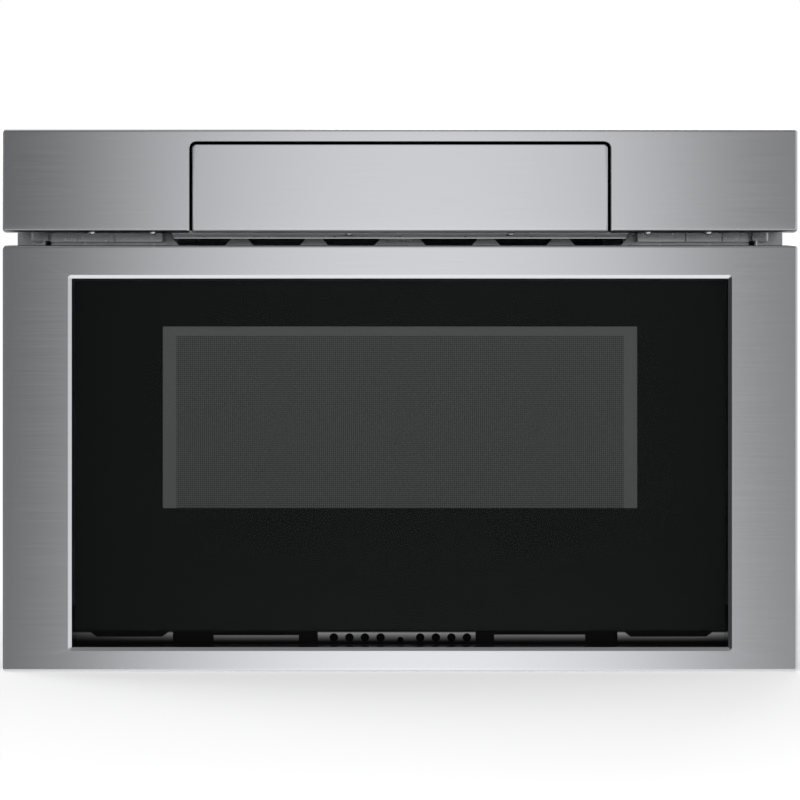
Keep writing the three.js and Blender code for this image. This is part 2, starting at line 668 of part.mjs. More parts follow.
// The rectangular guide that brings the microwaves from the magnetron to the roof's aperture.
function waveguide() {
  const half = WAVEGUIDE_WIDTH / 2;
  const bottom = CAVITY_ROOF + SEAT;
  const top = bottom + WAVEGUIDE_HEIGHT;
  const wall = THIN_SHEET;
  const start = STIRRER_Y - APERTURE_DEPTH / 2 - WAVEGUIDE_LIP;
  const end = MAGNETRON_Y + MAGNETRON_HALF_WIDTH + WAVEGUIDE_LIP;
  const outer = block([-half, half], [start, end], [bottom, top]);
  const inside = block(
    [-half + wall, half - wall],
    [start + wall, end - wall],
    [bottom + wall, top - wall],
  );
  const flange = block(
    [-half - WAVEGUIDE_LIP, half + WAVEGUIDE_LIP],
    [start - WAVEGUIDE_LIP, CAVITY_DEPTH],
    [bottom, bottom + wall],
  );
  const aperture = roofAperture([bottom - 1, bottom + wall + 1]);
  const antenna = rod(12, 'z', [bottom - 1, bottom + 2], [0, MAGNETRON_Y], 16);
  const shaft = rod(STIRRER_SHAFT + SHAFT_PLAY, 'z', [top - 2, top + 1], [0, STIRRER_Y]);
  return cut(joined(outer, flange), inside, aperture, antenna, shaft);
}

const STIRRER_SHAFT = 3;
const STIRRER_DROP = 9; // blades below the roof
const WAVEGUIDE_TOP = CAVITY_ROOF + SEAT + WAVEGUIDE_HEIGHT;

// Four pitched blades on a hub, with the shaft that goes up through the guide.
function stirrer() {
  const shape = new THREE.Shape();
  const blades = 4;
  const hub = 10;
  const sweep = 0.42;
  shape.moveTo(hub, 0);
  for (let blade = 0; blade < blades; blade += 1) {
    const angle = (blade * 2 * Math.PI) / blades;
    const next = ((blade + 1) * 2 * Math.PI) / blades;
    const tip = (radius, turn) => [radius * Math.cos(turn), radius * Math.sin(turn)];
    shape.lineTo(...tip(STIRRER_RADIUS * 0.75, angle - sweep * 0.4));
    shape.lineTo(...tip(STIRRER_RADIUS, angle));
    shape.lineTo(...tip(STIRRER_RADIUS, angle + sweep));
    shape.lineTo(...tip(STIRRER_RADIUS * 0.6, angle + sweep * 1.5));
    shape.lineTo(...tip(hub, angle + sweep * 2));
    if (blade < blades - 1) shape.lineTo(...tip(hub, next - sweep));
  }
  const plate = extruded(shape, 'z', [-THIN_SHEET, 0]);
  const boss = rod(hub - 1, 'z', [-3, 3], [0, 0], 16);
  const top = WAVEGUIDE_TOP - (CAVITY_TOP - STIRRER_DROP);
  const shaft = rod(STIRRER_SHAFT, 'z', [0, top + 6], [0, 0]);
  return joined(plate, boss, shaft);
}

function stirrerMotor() {
  const can = rod(24, 'z', [SEAT, 17], [0, 0], ROUND);
  const ears = extruded(rectangle([-32, 32], [-6, 6], 5), 'z', [SEAT, SEAT + 1.5]);
  const bore = rod(STIRRER_SHAFT + SHAFT_PLAY, 'z', [-1, 8], [0, 0]);
  return cut(joined(can, ears), bore);
}

// The moulded cover under the stirrer: a shallow pan whose rim meets the roof.
function stirrerCover() {
  const half = 100;
  const along = [STIRRER_Y - 92, STIRRER_Y + 92];
  const low = CAVITY_TOP - 18;
  const rim = CAVITY_TOP - SEAT;
  const outer = extruded(rectangle([-half, half], along, 12), 'z', [low, rim]);
  const inner = rectangle([-half + 2, half - 2], [along[0] + 2, along[1] - 2], 10);
  return cut(outer, extruded(inner, 'z', [low + 2, rim + 1]));
}

// The magnetron's anode with its stack of cooling fins and the antenna on top.
function magnetronAnode() {
  const top = -3 - SEAT;
  const core = rod(19, 'z', [-62, top], [0, 0], 16);
  const antenna = rod(8, 'z', [top - 1, 18], [0, 0], ROUND_SMALL);
  const fins = [...Array(6).keys()].map((index) =>
    block([-36, 36], [-26, 26], [-56 + index * 8, -55 + index * 8]),
  );
  return joined(core, antenna, ...fins);
}

// The steel yoke that closes the magnet circuit round the fins, open to the air stream.
function magnetronYoke() {
  const outer = block([-40, 40], [-30, 30], [-66, -SEAT]);
  const inside = block([-37, 37], [-31, 31], [-63, -3]);
  const antenna = rod(10, 'z', [-4, 1], [0, 0], 16);
  const filter = block([-26, 26], [-30, 30], [-86, -66]);
  const ears = block([-54, 54], [-24, 24], [-2, -SEAT]);
  return cut(joined(outer, filter, ears), inside, antenna);
}

const TRANSFORMER_X = -165;
const TRANSFORMER_Y = CAVITY_DEPTH + REAR_SPACE / 2 + 1;

function transformerCore() {
  const stack = block([-46, 46], [-30, 30], [0, 78]);
  const windows = [-1, 1].map((side) => block(span(side, 15, 32), [-31, 31], [16, 62]));
  const foot = block([-46, 46], [-42, 42], [0, 3]);
  return joined(cut(stack, ...windows), foot);
}

// Primary and secondary windings on one former, round the core's centre leg.
function transformerCoil() {
  const coil = [[16.5, 37], [41, 61.5]].map(([low, high]) =>
    extruded(rectangle([-31.5, 31.5], [-47, 47], 10), 'z', [low, high]),
  );
  const former = extruded(rectangle([-20, 20], [-35, 35], 4), 'z', [36, 42]);
  const leg = block([-15 - SEAT, 15 + SEAT], [-30 - SEAT, 30 + SEAT], [0, 78]);
  return cut(joined(...coil, former), leg);
}

const CAPACITOR_X = -65;

// The high-voltage capacitor: an oval can with two terminals, on a strap foot.
function capacitor() {
  const can = extruded(rectangle([-25, 25], [-16, 16], 15.5), 'z', [0, 92], { curveSegments: 6 });
  const terminals = [-11, 11].map((x) => block([x - 3, x + 3], [-0.5, 0.5], [91, 102]));
  const foot = block([-38, 38], [-7, 7], [0, 1.5]);
  return joined(can, ...terminals, foot);
}

// ---------------------------------------------------------------- air

function scrollOutline(inset) {
  const start = Math.PI / 4;
  const steps = 16;
  const points = [];
  for (let step = 0; step <= steps; step += 1) {
    const share = step / steps;
    const angle = start + share * (2 * Math.PI - start);
    const radius = BLOWER_INNER + BLOWER_GROWTH * share - inset;
    points.push([radius * Math.cos(angle), radius * Math.sin(angle)]);
  }
  const outlet = BLOWER_OUTLET + (inset > 0 ? 1 : 0);
  const throat = BLOWER_INNER * Math.cos(start) + inset;
  points.push([BLOWER_INNER + BLOWER_GROWTH - inset, outlet]);
  points.push([throat, outlet]);
  points.push([throat, BLOWER_INNER * Math.sin(start)]);
  return polygon(points);
}

function blowerHousing() {
  const outer = extruded(scrollOutline(0), 'x', [0, BLOWER_WIDTH]);
  const inside = extruded(scrollOutline(1.5), 'x', [1.5, BLOWER_WIDTH - 1.5]);
  const inlet = rod(30, 'x', [-1, 3], [0, 0], ROUND);
  const motorHole = rod(12, 'x', [BLOWER_WIDTH - 3, BLOWER_WIDTH + 1], [0, 0], 16);
  const lugBack = BACK_Y - SEAT - BLOWER_Y;
  const lug = block([6, BLOWER_WIDTH - 6], [BLOWER_INNER + BLOWER_GROWTH - 1, lugBack], [4, 16]);
  return cut(joined(outer, lug), inside, inlet, motorHole);
}

// A squirrel-cage wheel: back plate, front ring and forward-curved blades.
function blowerWheel() {
  const width = BLOWER_WIDTH - 12;
  const back = rod(WHEEL_RADIUS, 'x', [width - 1.5, width], [0, 0], ROUND);
  const ring = cut(
    rod(WHEEL_RADIUS, 'x', [0, 2], [0, 0], ROUND),
    rod(WHEEL_RADIUS - 8, 'x', [-1, 3], [0, 0], ROUND),
  );
  const hub = rod(7, 'x', [width - 14, width], [0, 0]);
  const bore = rod(3 + SHAFT_PLAY, 'x', [width - 15, width + 1], [0, 0]);
  const blades = [...Array(WHEEL_BLADES).keys()].map((index) => {
    const angle = (index * 2 * Math.PI) / WHEEL_BLADES;
    const at = (radius, turn) => [radius * Math.cos(angle + turn), radius * Math.sin(angle + turn)];
    const outline = polygon([
      at(WHEEL_RADIUS - 7.5, 0),
      at(WHEEL_RADIUS - 0.6, 0.14),
      at(WHEEL_RADIUS - 0.6, 0.18),
      at(WHEEL_RADIUS - 7.5, 0.05),
    ]);
    return extruded(outline, 'x', [1, width - 1]);
  });
  return cut(joined(back, ring, hub, ...blades), bore);
}

function blowerMotor() {
  const can = rod(26, 'x', [SEAT, 34], [0, 0], ROUND);
  const shaft = rod(3, 'x', [-18, 1], [0, 0]);
  const back = rod(9, 'x', [33, 40], [0, 0], 16);
  return joined(can, shaft, back);
}

const DUCT_HALF = 178;
const DUCT_DEPTH = 150;
const DUCT_BOTTOM = FASCIA_BOTTOM - 12.9;
const DUCT_HEIGHT = 40;

// The flat duct that leads the cooling air out through the flange's vents.
function exhaustDuct() {
  const outer = block(
    [-DUCT_HALF, DUCT_HALF],
    [SEAT, DUCT_DEPTH],
    [DUCT_BOTTOM, DUCT_BOTTOM + DUCT_HEIGHT],
  );
  const inside = block(
    [-DUCT_HALF + THIN_SHEET, DUCT_HALF - THIN_SHEET],
    [-1, DUCT_DEPTH + 1],
    [DUCT_BOTTOM + THIN_SHEET, DUCT_BOTTOM + DUCT_HEIGHT - THIN_SHEET],
  );
  const vanes = [-1, 1].map((side) =>
    block(
      span(side, 66, 67.5),
      [4, DUCT_DEPTH - 10],
      [DUCT_BOTTOM + 0.5, DUCT_BOTTOM + DUCT_HEIGHT - 0.5],
    ),
  );
  return joined(cut(outer, inside), ...vanes);
}

const BOARD_X = WAVEGUIDE_WIDTH / 2 + 22;
const BOARD_Y = DUCT_DEPTH + 20;
const BOARD_WIDTH = 140;
const BOARD_LENGTH = 190;
const BOARD_LIFT = 12;
const BOARD_THICKNESS = 1.6;
const POST_INSET = 8;

// The mains and relay board on its four standoffs, over the cavity's roof.
function powerBoard() {
  const lift = BOARD_LIFT;
  const plate = block([0, BOARD_WIDTH], [0, BOARD_LENGTH], [lift, lift + BOARD_THICKNESS]);
  const columns = [POST_INSET, BOARD_WIDTH - POST_INSET];
  const rows = [POST_INSET, BOARD_LENGTH - POST_INSET];
  const posts = columns.flatMap((x) =>
    rows.map((y) => rod(POST_INSET / 2, 'z', [0, lift + 1], [x, y], 8)),
  );
  const top = lift + 1;
  const parts = [
    block([14, 58], [20, 62], [top, top + 32]),
    block([74, 94], [18, 46], [top, top + 16]),
    block([102, 122], [18, 46], [top, top + 16]),
    rod(9, 'z', [top, top + 26], [30, 96], 16),
    rod(9, 'z', [top, top + 26], [56, 96], 16),
    block([84, 126], [70, 78], [top, top + 24]),
    block([20, 120], [160, 170], [top, top + 10]),
  ];
  return joined(plate, ...posts, ...parts);
}

function ovenLamp() {
  const holder = rod(14, 'x', [CAVITY_HALF + THIN_SHEET + SEAT, CAVITY_HALF + 20], [LAMP_Y, LAMP_Z], 16);
  const cap = rod(9, 'x', [CAVITY_HALF + 19, CAVITY_HALF + 32], [LAMP_Y, LAMP_Z], 16);
  return joined(holder, cap);
}

// ---------------------------------------------------------------- drawer

// The steel front: a folded frame with a mitred bevel round the glass.
function drawerFrontFrame() {
  const height = [DRAWER_FRONT_BOTTOM, DRAWER_FRONT_TOP];
  const cover = roundedFront(
    [-HALF_FRONT, HALF_FRONT],
    [FRONT_Y, FRAME_BACK],
    height,
    FRONT_EDGE_RADIUS,
  );
  const opening = rectangle([-OPENING_HALF, OPENING_HALF], [OPENING_BOTTOM, OPENING_TOP]);
  const through = extruded(opening, 'y', [FRONT_Y - 1, FRAME_BACK + 1]);
  const bevel = extruded(opening, 'y', [FRONT_Y - 4, FRONT_Y], {
    bevelEnabled: true,
    bevelSize: INNER_BEVEL,
    bevelThickness: INNER_BEVEL_DEPTH,
    bevelSegments: 1,
  });
  const channel = cut(
    block(
      [-HALF_FRONT + FRONT_SHEET, HALF_FRONT - FRONT_SHEET],
      [FRONT_Y + FRONT_SHEET, 0],
      [DRAWER_FRONT_BOTTOM + FRONT_SHEET, DRAWER_FRONT_TOP - FRONT_SHEET],
    ),
    block(
      [-OPENING_HALF - INNER_BEVEL - FRONT_SHEET, OPENING_HALF + INNER_BEVEL + FRONT_SHEET],
      [FRONT_Y, 1],
      [OPENING_BOTTOM - INNER_BEVEL - FRONT_SHEET, OPENING_TOP + INNER_BEVEL + FRONT_SHEET],
    ),
  );
  return cut(cover, channel, bevel, through);
}

function frontGlass() {
  const shape = rectangle([-GLASS_HALF, GLASS_HALF], [GLASS_BOTTOM, GLASS_TOP]);
  return extruded(shape, 'y', [GLASS_FRONT, GLASS_BACK]);
}

// The perforated sheet behind the window. Its holes are finer than a solid should hold.
function windowScreen() {
  const shape = windowOutline(WINDOW_BORDER);
  return extruded(shape, 'y', [GLASS_BACK + SEAT, GLASS_BACK + SEAT + SCREEN_THICKNESS]);
}

// The window's outline, grown by a margin all round.
function windowOutline(margin) {
  const half = WINDOW_HALF + margin;
  return rectangle([-half, half], [WINDOW_Z[0] - margin, WINDOW_Z[1] + margin], WINDOW_CORNER);
}

function windowHole() {
  return extruded(windowOutline(-2), 'y', [FRAME_BACK - 1, 0]);
}

// The choke: a trough round the door's inner edge that keeps the microwaves in.
function chokePanel() {
  const ringHalf = BIN_HALF + SEAT;
  const ringZ = [BIN_FLOOR - SEAT, BIN_TOP + SEAT];
  const outer = block(
    [-CHOKE_HALF, CHOKE_HALF],
    [CHOKE_FRONT, CHOKE_BACK - SHEET - SEAT],
    [CHOKE_BOTTOM, CHOKE_TOP],
  );
  const trough = block(
    [-CHOKE_HALF + SHEET, CHOKE_HALF - SHEET],
    [CHOKE_FRONT + SHEET, 0],
    [CHOKE_BOTTOM + SHEET, CHOKE_TOP - SHEET],
  );
  const ring = block(
    [-ringHalf - SHEET, ringHalf + SHEET],
    [CHOKE_FRONT, CHOKE_BACK],
    [ringZ[0] - SHEET, ringZ[1] + SHEET],
  );
  const ringInside = block([-ringHalf, ringHalf], [CHOKE_FRONT + SHEET, 1], ringZ);
  return cut(joined(cut(outer, trough), ring), ringInside, windowHole());
}

function chokeCover() {
  const ringHalf = BIN_HALF + 2 * SEAT + SHEET;
  const ringZ = [BIN_FLOOR - 2 * SEAT - SHEET, BIN_TOP + 2 * SEAT + SHEET];
  const plate = block(
    [-CHOKE_HALF, CHOKE_HALF],
    [CHOKE_BACK - SHEET, CHOKE_BACK],
    [CHOKE_BOTTOM, CHOKE_TOP],
  );
  const rackZ = DRIVE_Z + DRIVE_RADIUS + 1.25 * DRIVE_MODULE;
  const rackSlot = block(
    [-DRIVE_FACE / 2 - SEAT, DRIVE_FACE / 2 + SEAT],
    [CHOKE_BACK - 5, 1],
    [rackZ - 2.25 * DRIVE_MODULE - SEAT, rackZ + RACK_BODY + SEAT],
  );
  return cut(plate, block([-ringHalf, ringHalf], [CHOKE_BACK - 5, 1], ringZ), rackSlot);
}

function innerGlass() {
  const front = CHOKE_FRONT + SHEET + SEAT;
  return extruded(windowOutline(WINDOW_BORDER / 2), 'y', [front, BIN_FRONT - SEAT]);
}

// The bin: a rounded box, higher at its front wall, with a window behind the door's glass.
function drawerBin() {
  const outline = rectangle([-BIN_HALF, BIN_HALF], [BIN_FRONT, BIN_BACK], BIN_CORNER);
  const inner = rectangle(
    [-BIN_HALF + BIN_WALL, BIN_HALF - BIN_WALL],
    [BIN_FRONT + BIN_WALL, BIN_BACK - BIN_WALL],
    BIN_CORNER - BIN_WALL,
  );
  const top = BIN_TOP;
  const side = BIN_TOP - BIN_SIDE_DROP;
  const body = extruded(outline, 'z', [BIN_FLOOR, top]);
  const hollow = extruded(inner, 'z', [BIN_FLOOR + BIN_WALL, top + 1]);
  const above = new THREE.Shape();
  above.moveTo(BIN_FRONT + 24, top + 1);
  above.bezierCurveTo(BIN_FRONT + 34, side, BIN_FRONT + 44, side, BIN_FRONT + 84, side);
  above.lineTo(BIN_BACK + 1, side);
  above.lineTo(BIN_BACK + 1, top + 1);
  const sideCut = extruded(above, 'x', [-BIN_HALF - 1, BIN_HALF + 1], { curveSegments: 6 });
  return cut(body, hollow, sideCut, windowHole());
}

function glassTray() {
  const half = BIN_HALF - BIN_WALL - TRAY_MARGIN;
  const along = [BIN_FRONT + TRAY_MARGIN + BIN_WALL, BIN_BACK - TRAY_MARGIN - BIN_WALL];
  const bottom = BIN_FLOOR + BIN_WALL + SEAT;
  const plate = extruded(rectangle([-half, half], along, 26), 'z', [bottom, bottom + TRAY_THICKNESS]);
  const dish = rectangle(
    [-half + TRAY_RIM, half - TRAY_RIM],
    [along[0] + TRAY_RIM, along[1] - TRAY_RIM],
    26 - TRAY_RIM,
  );
  const top = bottom + TRAY_THICKNESS;
  return cut(plate, extruded(dish, 'z', [top - TRAY_DISH, top + 1]));
}

const PAD_PROUD = 2;
const VENT_PLATE_FRONT = FRAME_BACK + 3;
const VENT_PLATE_DROP = 9.5; // how far the plate goes on below the frame's opening
const PAD_LIFT = 1.7; // above the frame's lower edge
const PAD_NOTCH_DEPTH = 4.4;
const PAD_NOTCH_SLOPE = 6;
const PADS = [
  { x: [-250.3, -175.6], height: 8.3, notch: [-240.6, -177.7] },
  { x: [-144, -78.2], height: 5 },
  { x: [-63.5, 58.3], height: 8.8 },
  { x: [72.7, 143], height: 5.4 },
  { x: [168.1, 251], height: 8.3, notch: [172.2, 242.8] },
];
const HOLE_RADIUS = 3.4;
const HOLE_MIDDLE = 0.3;
const HOLE_OFFSETS = [15.3, 27.4, 39.4, 51.4];
const HOLE_LIFT = 3.3;

// A pressed pad; some have a tapered notch in their upper edge.
function padShape([x0, x1], [z0, z1], notch) {
  const points = [[x0, z0], [x1, z0], [x1, z1]];
  if (notch) {
    const [left, right] = notch;
    const low = z1 - PAD_NOTCH_DEPTH;
    points.push([right, z1], [right - PAD_NOTCH_SLOPE, low], [left + PAD_NOTCH_SLOPE, low], [left, z1]);
  }
  points.push([x0, z1]);
  return polygon(points);
}

// The black plate low in the recess: pressed pads, and a row of holes in the middle one.
function lowerVentPlate() {
  const half = OPENING_HALF + 4;
  const z = [OPENING_BOTTOM - VENT_PLATE_DROP, CHOKE_BOTTOM - SEAT];
  const front = VENT_PLATE_FRONT;
  const plate = block([-half, half], [front, front + SHEET], z);
  const rims = [
    block([-half, half], [FRAME_BACK + SEAT, front + 0.5], [z[0], z[0] + SHEET]),
    block([-half, half], [FRAME_BACK + SEAT, front + 0.5], [z[1] - SHEET, z[1]]),
  ];
  const low = OPENING_BOTTOM + PAD_LIFT;
  const pads = PADS.map(({ x, height, notch }) =>
    extruded(padShape(x, [low, low + height], notch), 'y', [front - PAD_PROUD, front + 0.5]),
  );
  const through = [front - PAD_PROUD - 1, front + SHEET + 1];
  const holes = HOLE_OFFSETS.flatMap((offset) => [HOLE_MIDDLE - offset, HOLE_MIDDLE + offset]).map((x) =>
    rod(HOLE_RADIUS, 'y', through, [x, low + HOLE_LIFT]),
  );
  const middle = rod(HOLE_RADIUS - 0.9, 'y', through, [HOLE_MIDDLE, low + HOLE_LIFT - 1.9]);
  return cut(joined(plate, ...rims, ...pads), ...holes, middle);
}

// ---------------------------------------------------------------- runners

// One member of a telescopic runner: a C-channel, nested index 0 outside to 2 inside.
function railMember(side, index) {
  const web = RAIL_WEB - index * RAIL_STEP;
  const lip = RAIL_WEB - RAIL_DEPTH;
  const low = RAIL_BOTTOM + index * RAIL_STEP;
  const high = RAIL_BOTTOM + RAIL_HEIGHT - index * RAIL_STEP;
  const along = [RAIL_START, RAIL_END];
  const outer = block(span(side, lip, web), along, [low, high]);
  const inside = block(
    span(side, lip - 1, web - RAIL_SHEET),
    [along[0] - 1, along[1] + 1],
    [low + RAIL_SHEET, high - RAIL_SHEET],
  );
  return cut(outer, inside);
}

// The arm that joins the inner runner to the side of the choke.
function drawerArm(side) {
  const low = RAIL_BOTTOM + 2 * RAIL_STEP + RAIL_SHEET + 1;
  const high = RAIL_BOTTOM + RAIL_HEIGHT - 2 * RAIL_STEP - RAIL_SHEET - 1;
  const front = CHOKE_FRONT + ARM_FOOT_SETBACK;
  const web = block(span(side, ARM_OUTER - RAIL_SHEET, ARM_OUTER), [front, RAIL_END], [low, high]);
  const foot = block(
    span(side, CHOKE_HALF + SEAT, ARM_OUTER),
    [front, CHOKE_BACK - ARM_FOOT_SETBACK],
    [low, high],
  );
  const hole = (high - low) / 2;
  const bay = RAIL_END / (ARM_HOLES + 1);
  const lightening = [...Array(ARM_HOLES).keys()].map((index) => {
    const middle = (index + 1) * bay;
    const along = [middle - bay / 3, middle + bay / 3];
    const shape = rectangle(along, [(low + high - hole) / 2, (low + high + hole) / 2], hole / 3);
    return extruded(shape, 'x', [-BODY_HALF, BODY_HALF]);
  });
  return cut(joined(web, foot), ...lightening);
}

// ---------------------------------------------------------------- drive

// The straight rack under the cavity. Its teeth face down to the pinion.
function drawerRack() {
  const pitch = Math.PI * DRIVE_MODULE;
  const pitchZ = DRIVE_Z + DRIVE_RADIUS;
  const rootZ = pitchZ + 1.25 * DRIVE_MODULE;
  const tipZ = pitchZ - DRIVE_MODULE;
  const slope = Math.tan(PRESSURE_ANGLE);
  const atPitch = pitch / 4 - DRIVE_BACKLASH / 4;
  const count = Math.ceil(SLIDE_TRAVEL / pitch) + 4;
  const start = CHOKE_FRONT + SHEET + SEAT;
  const end = DRIVE_Y + (count - 1) * pitch + 4;
  const points = [[start, rootZ]];
  for (let index = -2; index < count - 2; index += 1) {
    const centre = DRIVE_Y + (index + 0.5) * pitch;
    const root = atPitch + (rootZ - pitchZ) * slope;
    const tip = atPitch - (pitchZ - tipZ) * slope;
    points.push([centre - root, rootZ], [centre - tip, tipZ], [centre + tip, tipZ], [centre + root, rootZ]);
  }
  points.push([end, rootZ], [end, rootZ + RACK_BODY], [start, rootZ + RACK_BODY]);
  const bar = extruded(polygon(points), 'x', [-DRIVE_FACE / 2, DRIVE_FACE / 2]);
  const foot = block([-24, 24], [start, start + 3], [rootZ, rootZ + RACK_BODY]);
  return joined(bar, foot);
}

function drivePinion() {
  const outline = polygon(toothPoints(DRIVE_TEETH, DRIVE_MODULE, DRIVE_BACKLASH, 0, DRIVE_TEETH - 1));
  const gear = extruded(outline, 'x', [-DRIVE_FACE / 2 - 1, DRIVE_FACE / 2 + 1]);
  const shaft = rod(DRIVE_SHAFT_RADIUS, 'x', [-12, 20], [0, 0]);
  return joined(gear, shaft);
}

// A U-bracket on the base pan with a bearing hole in each ear.
function driveBracket() {
  const half = 19;
  const low = SHEET + SEAT - DRIVE_Z;
  const gap = DRIVE_FACE / 2 + 2.5;
  const outer = block([-gap - 1.5, gap + 1.5], [-half, half], [low, 11]);
  const inside = block([-gap, gap], [-half - 1, half + 1], [low + 1.5, 12]);
  const feet = block([-gap - 14, gap + 14], [-half, half], [low, low + 1.5]);
  const bearing = rod(DRIVE_SHAFT_RADIUS + SHAFT_PLAY, 'x', [-gap - 4, gap + 4], [0, 0]);
  const teeth = rod(DRIVE_RADIUS + DRIVE_MODULE + 0.7, 'x', [-gap, gap], [0, 0], ROUND);
  return cut(joined(outer, feet), inside, bearing, teeth);
}

function driveMotor() {
  const face = DRIVE_FACE / 2 + 2.5 + 1.5 + SEAT;
  const gearbox = block([face, face + 16], [-18, 18], [-18, 14]);
  const can = rod(MOTOR_RADIUS - 3, 'x', [face + 15, face + 15 + MOTOR_LENGTH], [0, -2], ROUND);
  const bore = rod(DRIVE_SHAFT_RADIUS + SHAFT_PLAY, 'x', [face - 1, face + 13], [0, 0]);
  return cut(joined(gearbox, can), bore);
}

// ---------------------------------------------------------------- interlock

function latchHook(side) {
  const shape = polygon([
    [CHOKE_BACK + SEAT, HOOK_Z - HOOK_HEIGHT / 2],
    [20, HOOK_Z - HOOK_HEIGHT / 2],
    [24, HOOK_Z - HOOK_HEIGHT / 2 + 4],
    [18, HOOK_Z + HOOK_HEIGHT / 2],
    [10, HOOK_Z + HOOK_HEIGHT / 2],
    [8, HOOK_Z + 1],
    [CHOKE_BACK + SEAT, HOOK_Z + 3],
  ]);
  const half = HOOK_THICKNESS / 2;
  return extruded(shape, 'x', span(side, HOOK_X - half, HOOK_X + half));
}

function interlockSwitch(side) {
  const wall = CAVITY_HALF + THIN_SHEET + SEAT;
  const plate = block(span(side, wall, wall + 1.5), [SEAT + 1, 44], [HOOK_Z + 4, HOOK_Z + 40]);
  const body = block(span(side, wall + 1, wall + 19), [6, 34], [HOOK_Z + 10, HOOK_Z + 26]);
  const low = HOOK_Z + HOOK_HEIGHT / 2 + SEAT;
  const plunger = block(span(side, HOOK_X - 1.5, HOOK_X + 1.5), [12, 16], [low, HOOK_Z + 11]);
  return joined(plate, body, plunger);
}

// ---------------------------------------------------------------- tilting console

// The stainless flap: a rounded front with folded edges.
function consoleFlap() {
  const height = [FASCIA_BOTTOM, FLAP_TOP];
  const back = FRONT_Y + FLAP_RETURN;
  const cover = roundedFront([-FLAP_HALF, FLAP_HALF], [FRONT_Y, back], height, 0.8);
  const outline = new THREE.Shape();
  outline.moveTo(-FLAP_HALF, FASCIA_BOTTOM - 1);
  outline.lineTo(FLAP_HALF, FASCIA_BOTTOM - 1);
  outline.lineTo(FLAP_HALF, FLAP_TOP - FLAP_RADIUS);
  outline.absarc(FLAP_HALF - FLAP_RADIUS, FLAP_TOP - FLAP_RADIUS, FLAP_RADIUS, 0, Math.PI / 2);
  outline.lineTo(-FLAP_HALF + FLAP_RADIUS, FLAP_TOP);
  outline.absarc(-FLAP_HALF + FLAP_RADIUS, FLAP_TOP - FLAP_RADIUS, FLAP_RADIUS, Math.PI / 2, Math.PI);
  const rounded = cover.intersect(extruded(outline, 'y', [FRONT_Y - 1, back + 1]));
  const inside = block(
    [-FLAP_HALF + FRONT_SHEET, FLAP_HALF - FRONT_SHEET],
    [FRONT_Y + FRONT_SHEET, back + 1],
    [FASCIA_BOTTOM - 1, FLAP_TOP - FRONT_SHEET],
  );
  const sideCut = block(
    [-FLAP_HALF - 1, FLAP_HALF + 1],
    [FRONT_Y + FRONT_SHEET, back + 1],
    [FASCIA_BOTTOM - 1, PIVOT_Z + 9],
  );
  return cut(rounded, inside, sideCut);
}

const HOUSING_TOP = 43.5; // above the pivot
const HOUSING_BACK = 40; // behind the pivot
const HOUSING_WALL = 2;
const TOUCH_THICKNESS = 3;

function housingOutline(inset) {
  const front = FRONT_Y + FRONT_SHEET + SEAT - PIVOT_Y + inset;
  const low = FASCIA_BOTTOM + 0.8 - PIVOT_Z + inset;
  const step = FASCIA_BOTTOM + SHEET + 1 - PIVOT_Z + inset;
  const top = HOUSING_TOP + (inset > 0 ? 1 : 0);
  return polygon([
    [front, low],
    [2.6, low],
    [4.2, step],
    [HOUSING_BACK - 5 - inset, step],
    [HOUSING_BACK - inset, step + 6],
    [HOUSING_BACK - inset, top],
    [front, top],
  ]);
}

// The moulded housing behind the flap, open at the top for the touch glass.
function consoleHousing() {
  const outer = extruded(housingOutline(0), 'x', [-HOUSING_HALF, HOUSING_HALF]);
  const inside = extruded(
    housingOutline(HOUSING_WALL),
    'x',
    [-HOUSING_HALF + HOUSING_WALL, HOUSING_HALF - HOUSING_WALL],
  );
  const bores = rod(PIVOT_RADIUS + SEAT, 'x', [-HOUSING_HALF - 1, HOUSING_HALF + 1], [0, 0]);
  return cut(outer, inside, bores);
}

function touchGlass() {
  const front = FRONT_Y + FRONT_SHEET + SEAT - PIVOT_Y;
  const low = HOUSING_TOP + SEAT;
  const shape = rectangle([-HOUSING_HALF, HOUSING_HALF], [front, HOUSING_BACK], 2);
  return extruded(shape, 'z', [low, low + TOUCH_THICKNESS]);
}

function consoleBoard() {
  const half = HOUSING_HALF - HOUSING_WALL - SEAT;
  const front = FRONT_Y + FRONT_SHEET + SEAT - PIVOT_Y + HOUSING_WALL + SEAT;
  const back = HOUSING_BACK - HOUSING_WALL - SEAT;
  const plate = block([-half, half], [front, back], [HOUSING_TOP - 8, HOUSING_TOP - 6.4]);
  const display = block([-46, 46], [6, 30], [HOUSING_TOP - 7, HOUSING_TOP]);
  const socket = block([80, 104], [10, 18], [HOUSING_TOP - 16, HOUSING_TOP - 7]);
  return joined(plate, display, socket);
}

function consolePin(side) {
  const inner = HOUSING_HALF - HOUSING_WALL;
  const shank = rod(PIVOT_RADIUS, 'x', span(side, inner, TRAY_HALF + 1.5), [0, 0], 16);
  const head = rod(PIVOT_RADIUS + 2, 'x', span(side, TRAY_HALF + SEAT, TRAY_HALF + 1.5), [0, 0], 16);
  return joined(shank, head);
}

const TILT_SHAFT_RADIUS = 2.2;

// Centre of the tilt pinion, in the chassis's own coordinates.
function tiltPinionCentre() {
  const reach = SECTOR_RADIUS + TILT_PINION_RADIUS;
  const angle = THREE.MathUtils.degToRad(MESH_ANGLE);
  return [PIVOT_Y + reach * Math.cos(angle), PIVOT_Z + reach * Math.sin(angle)];
}

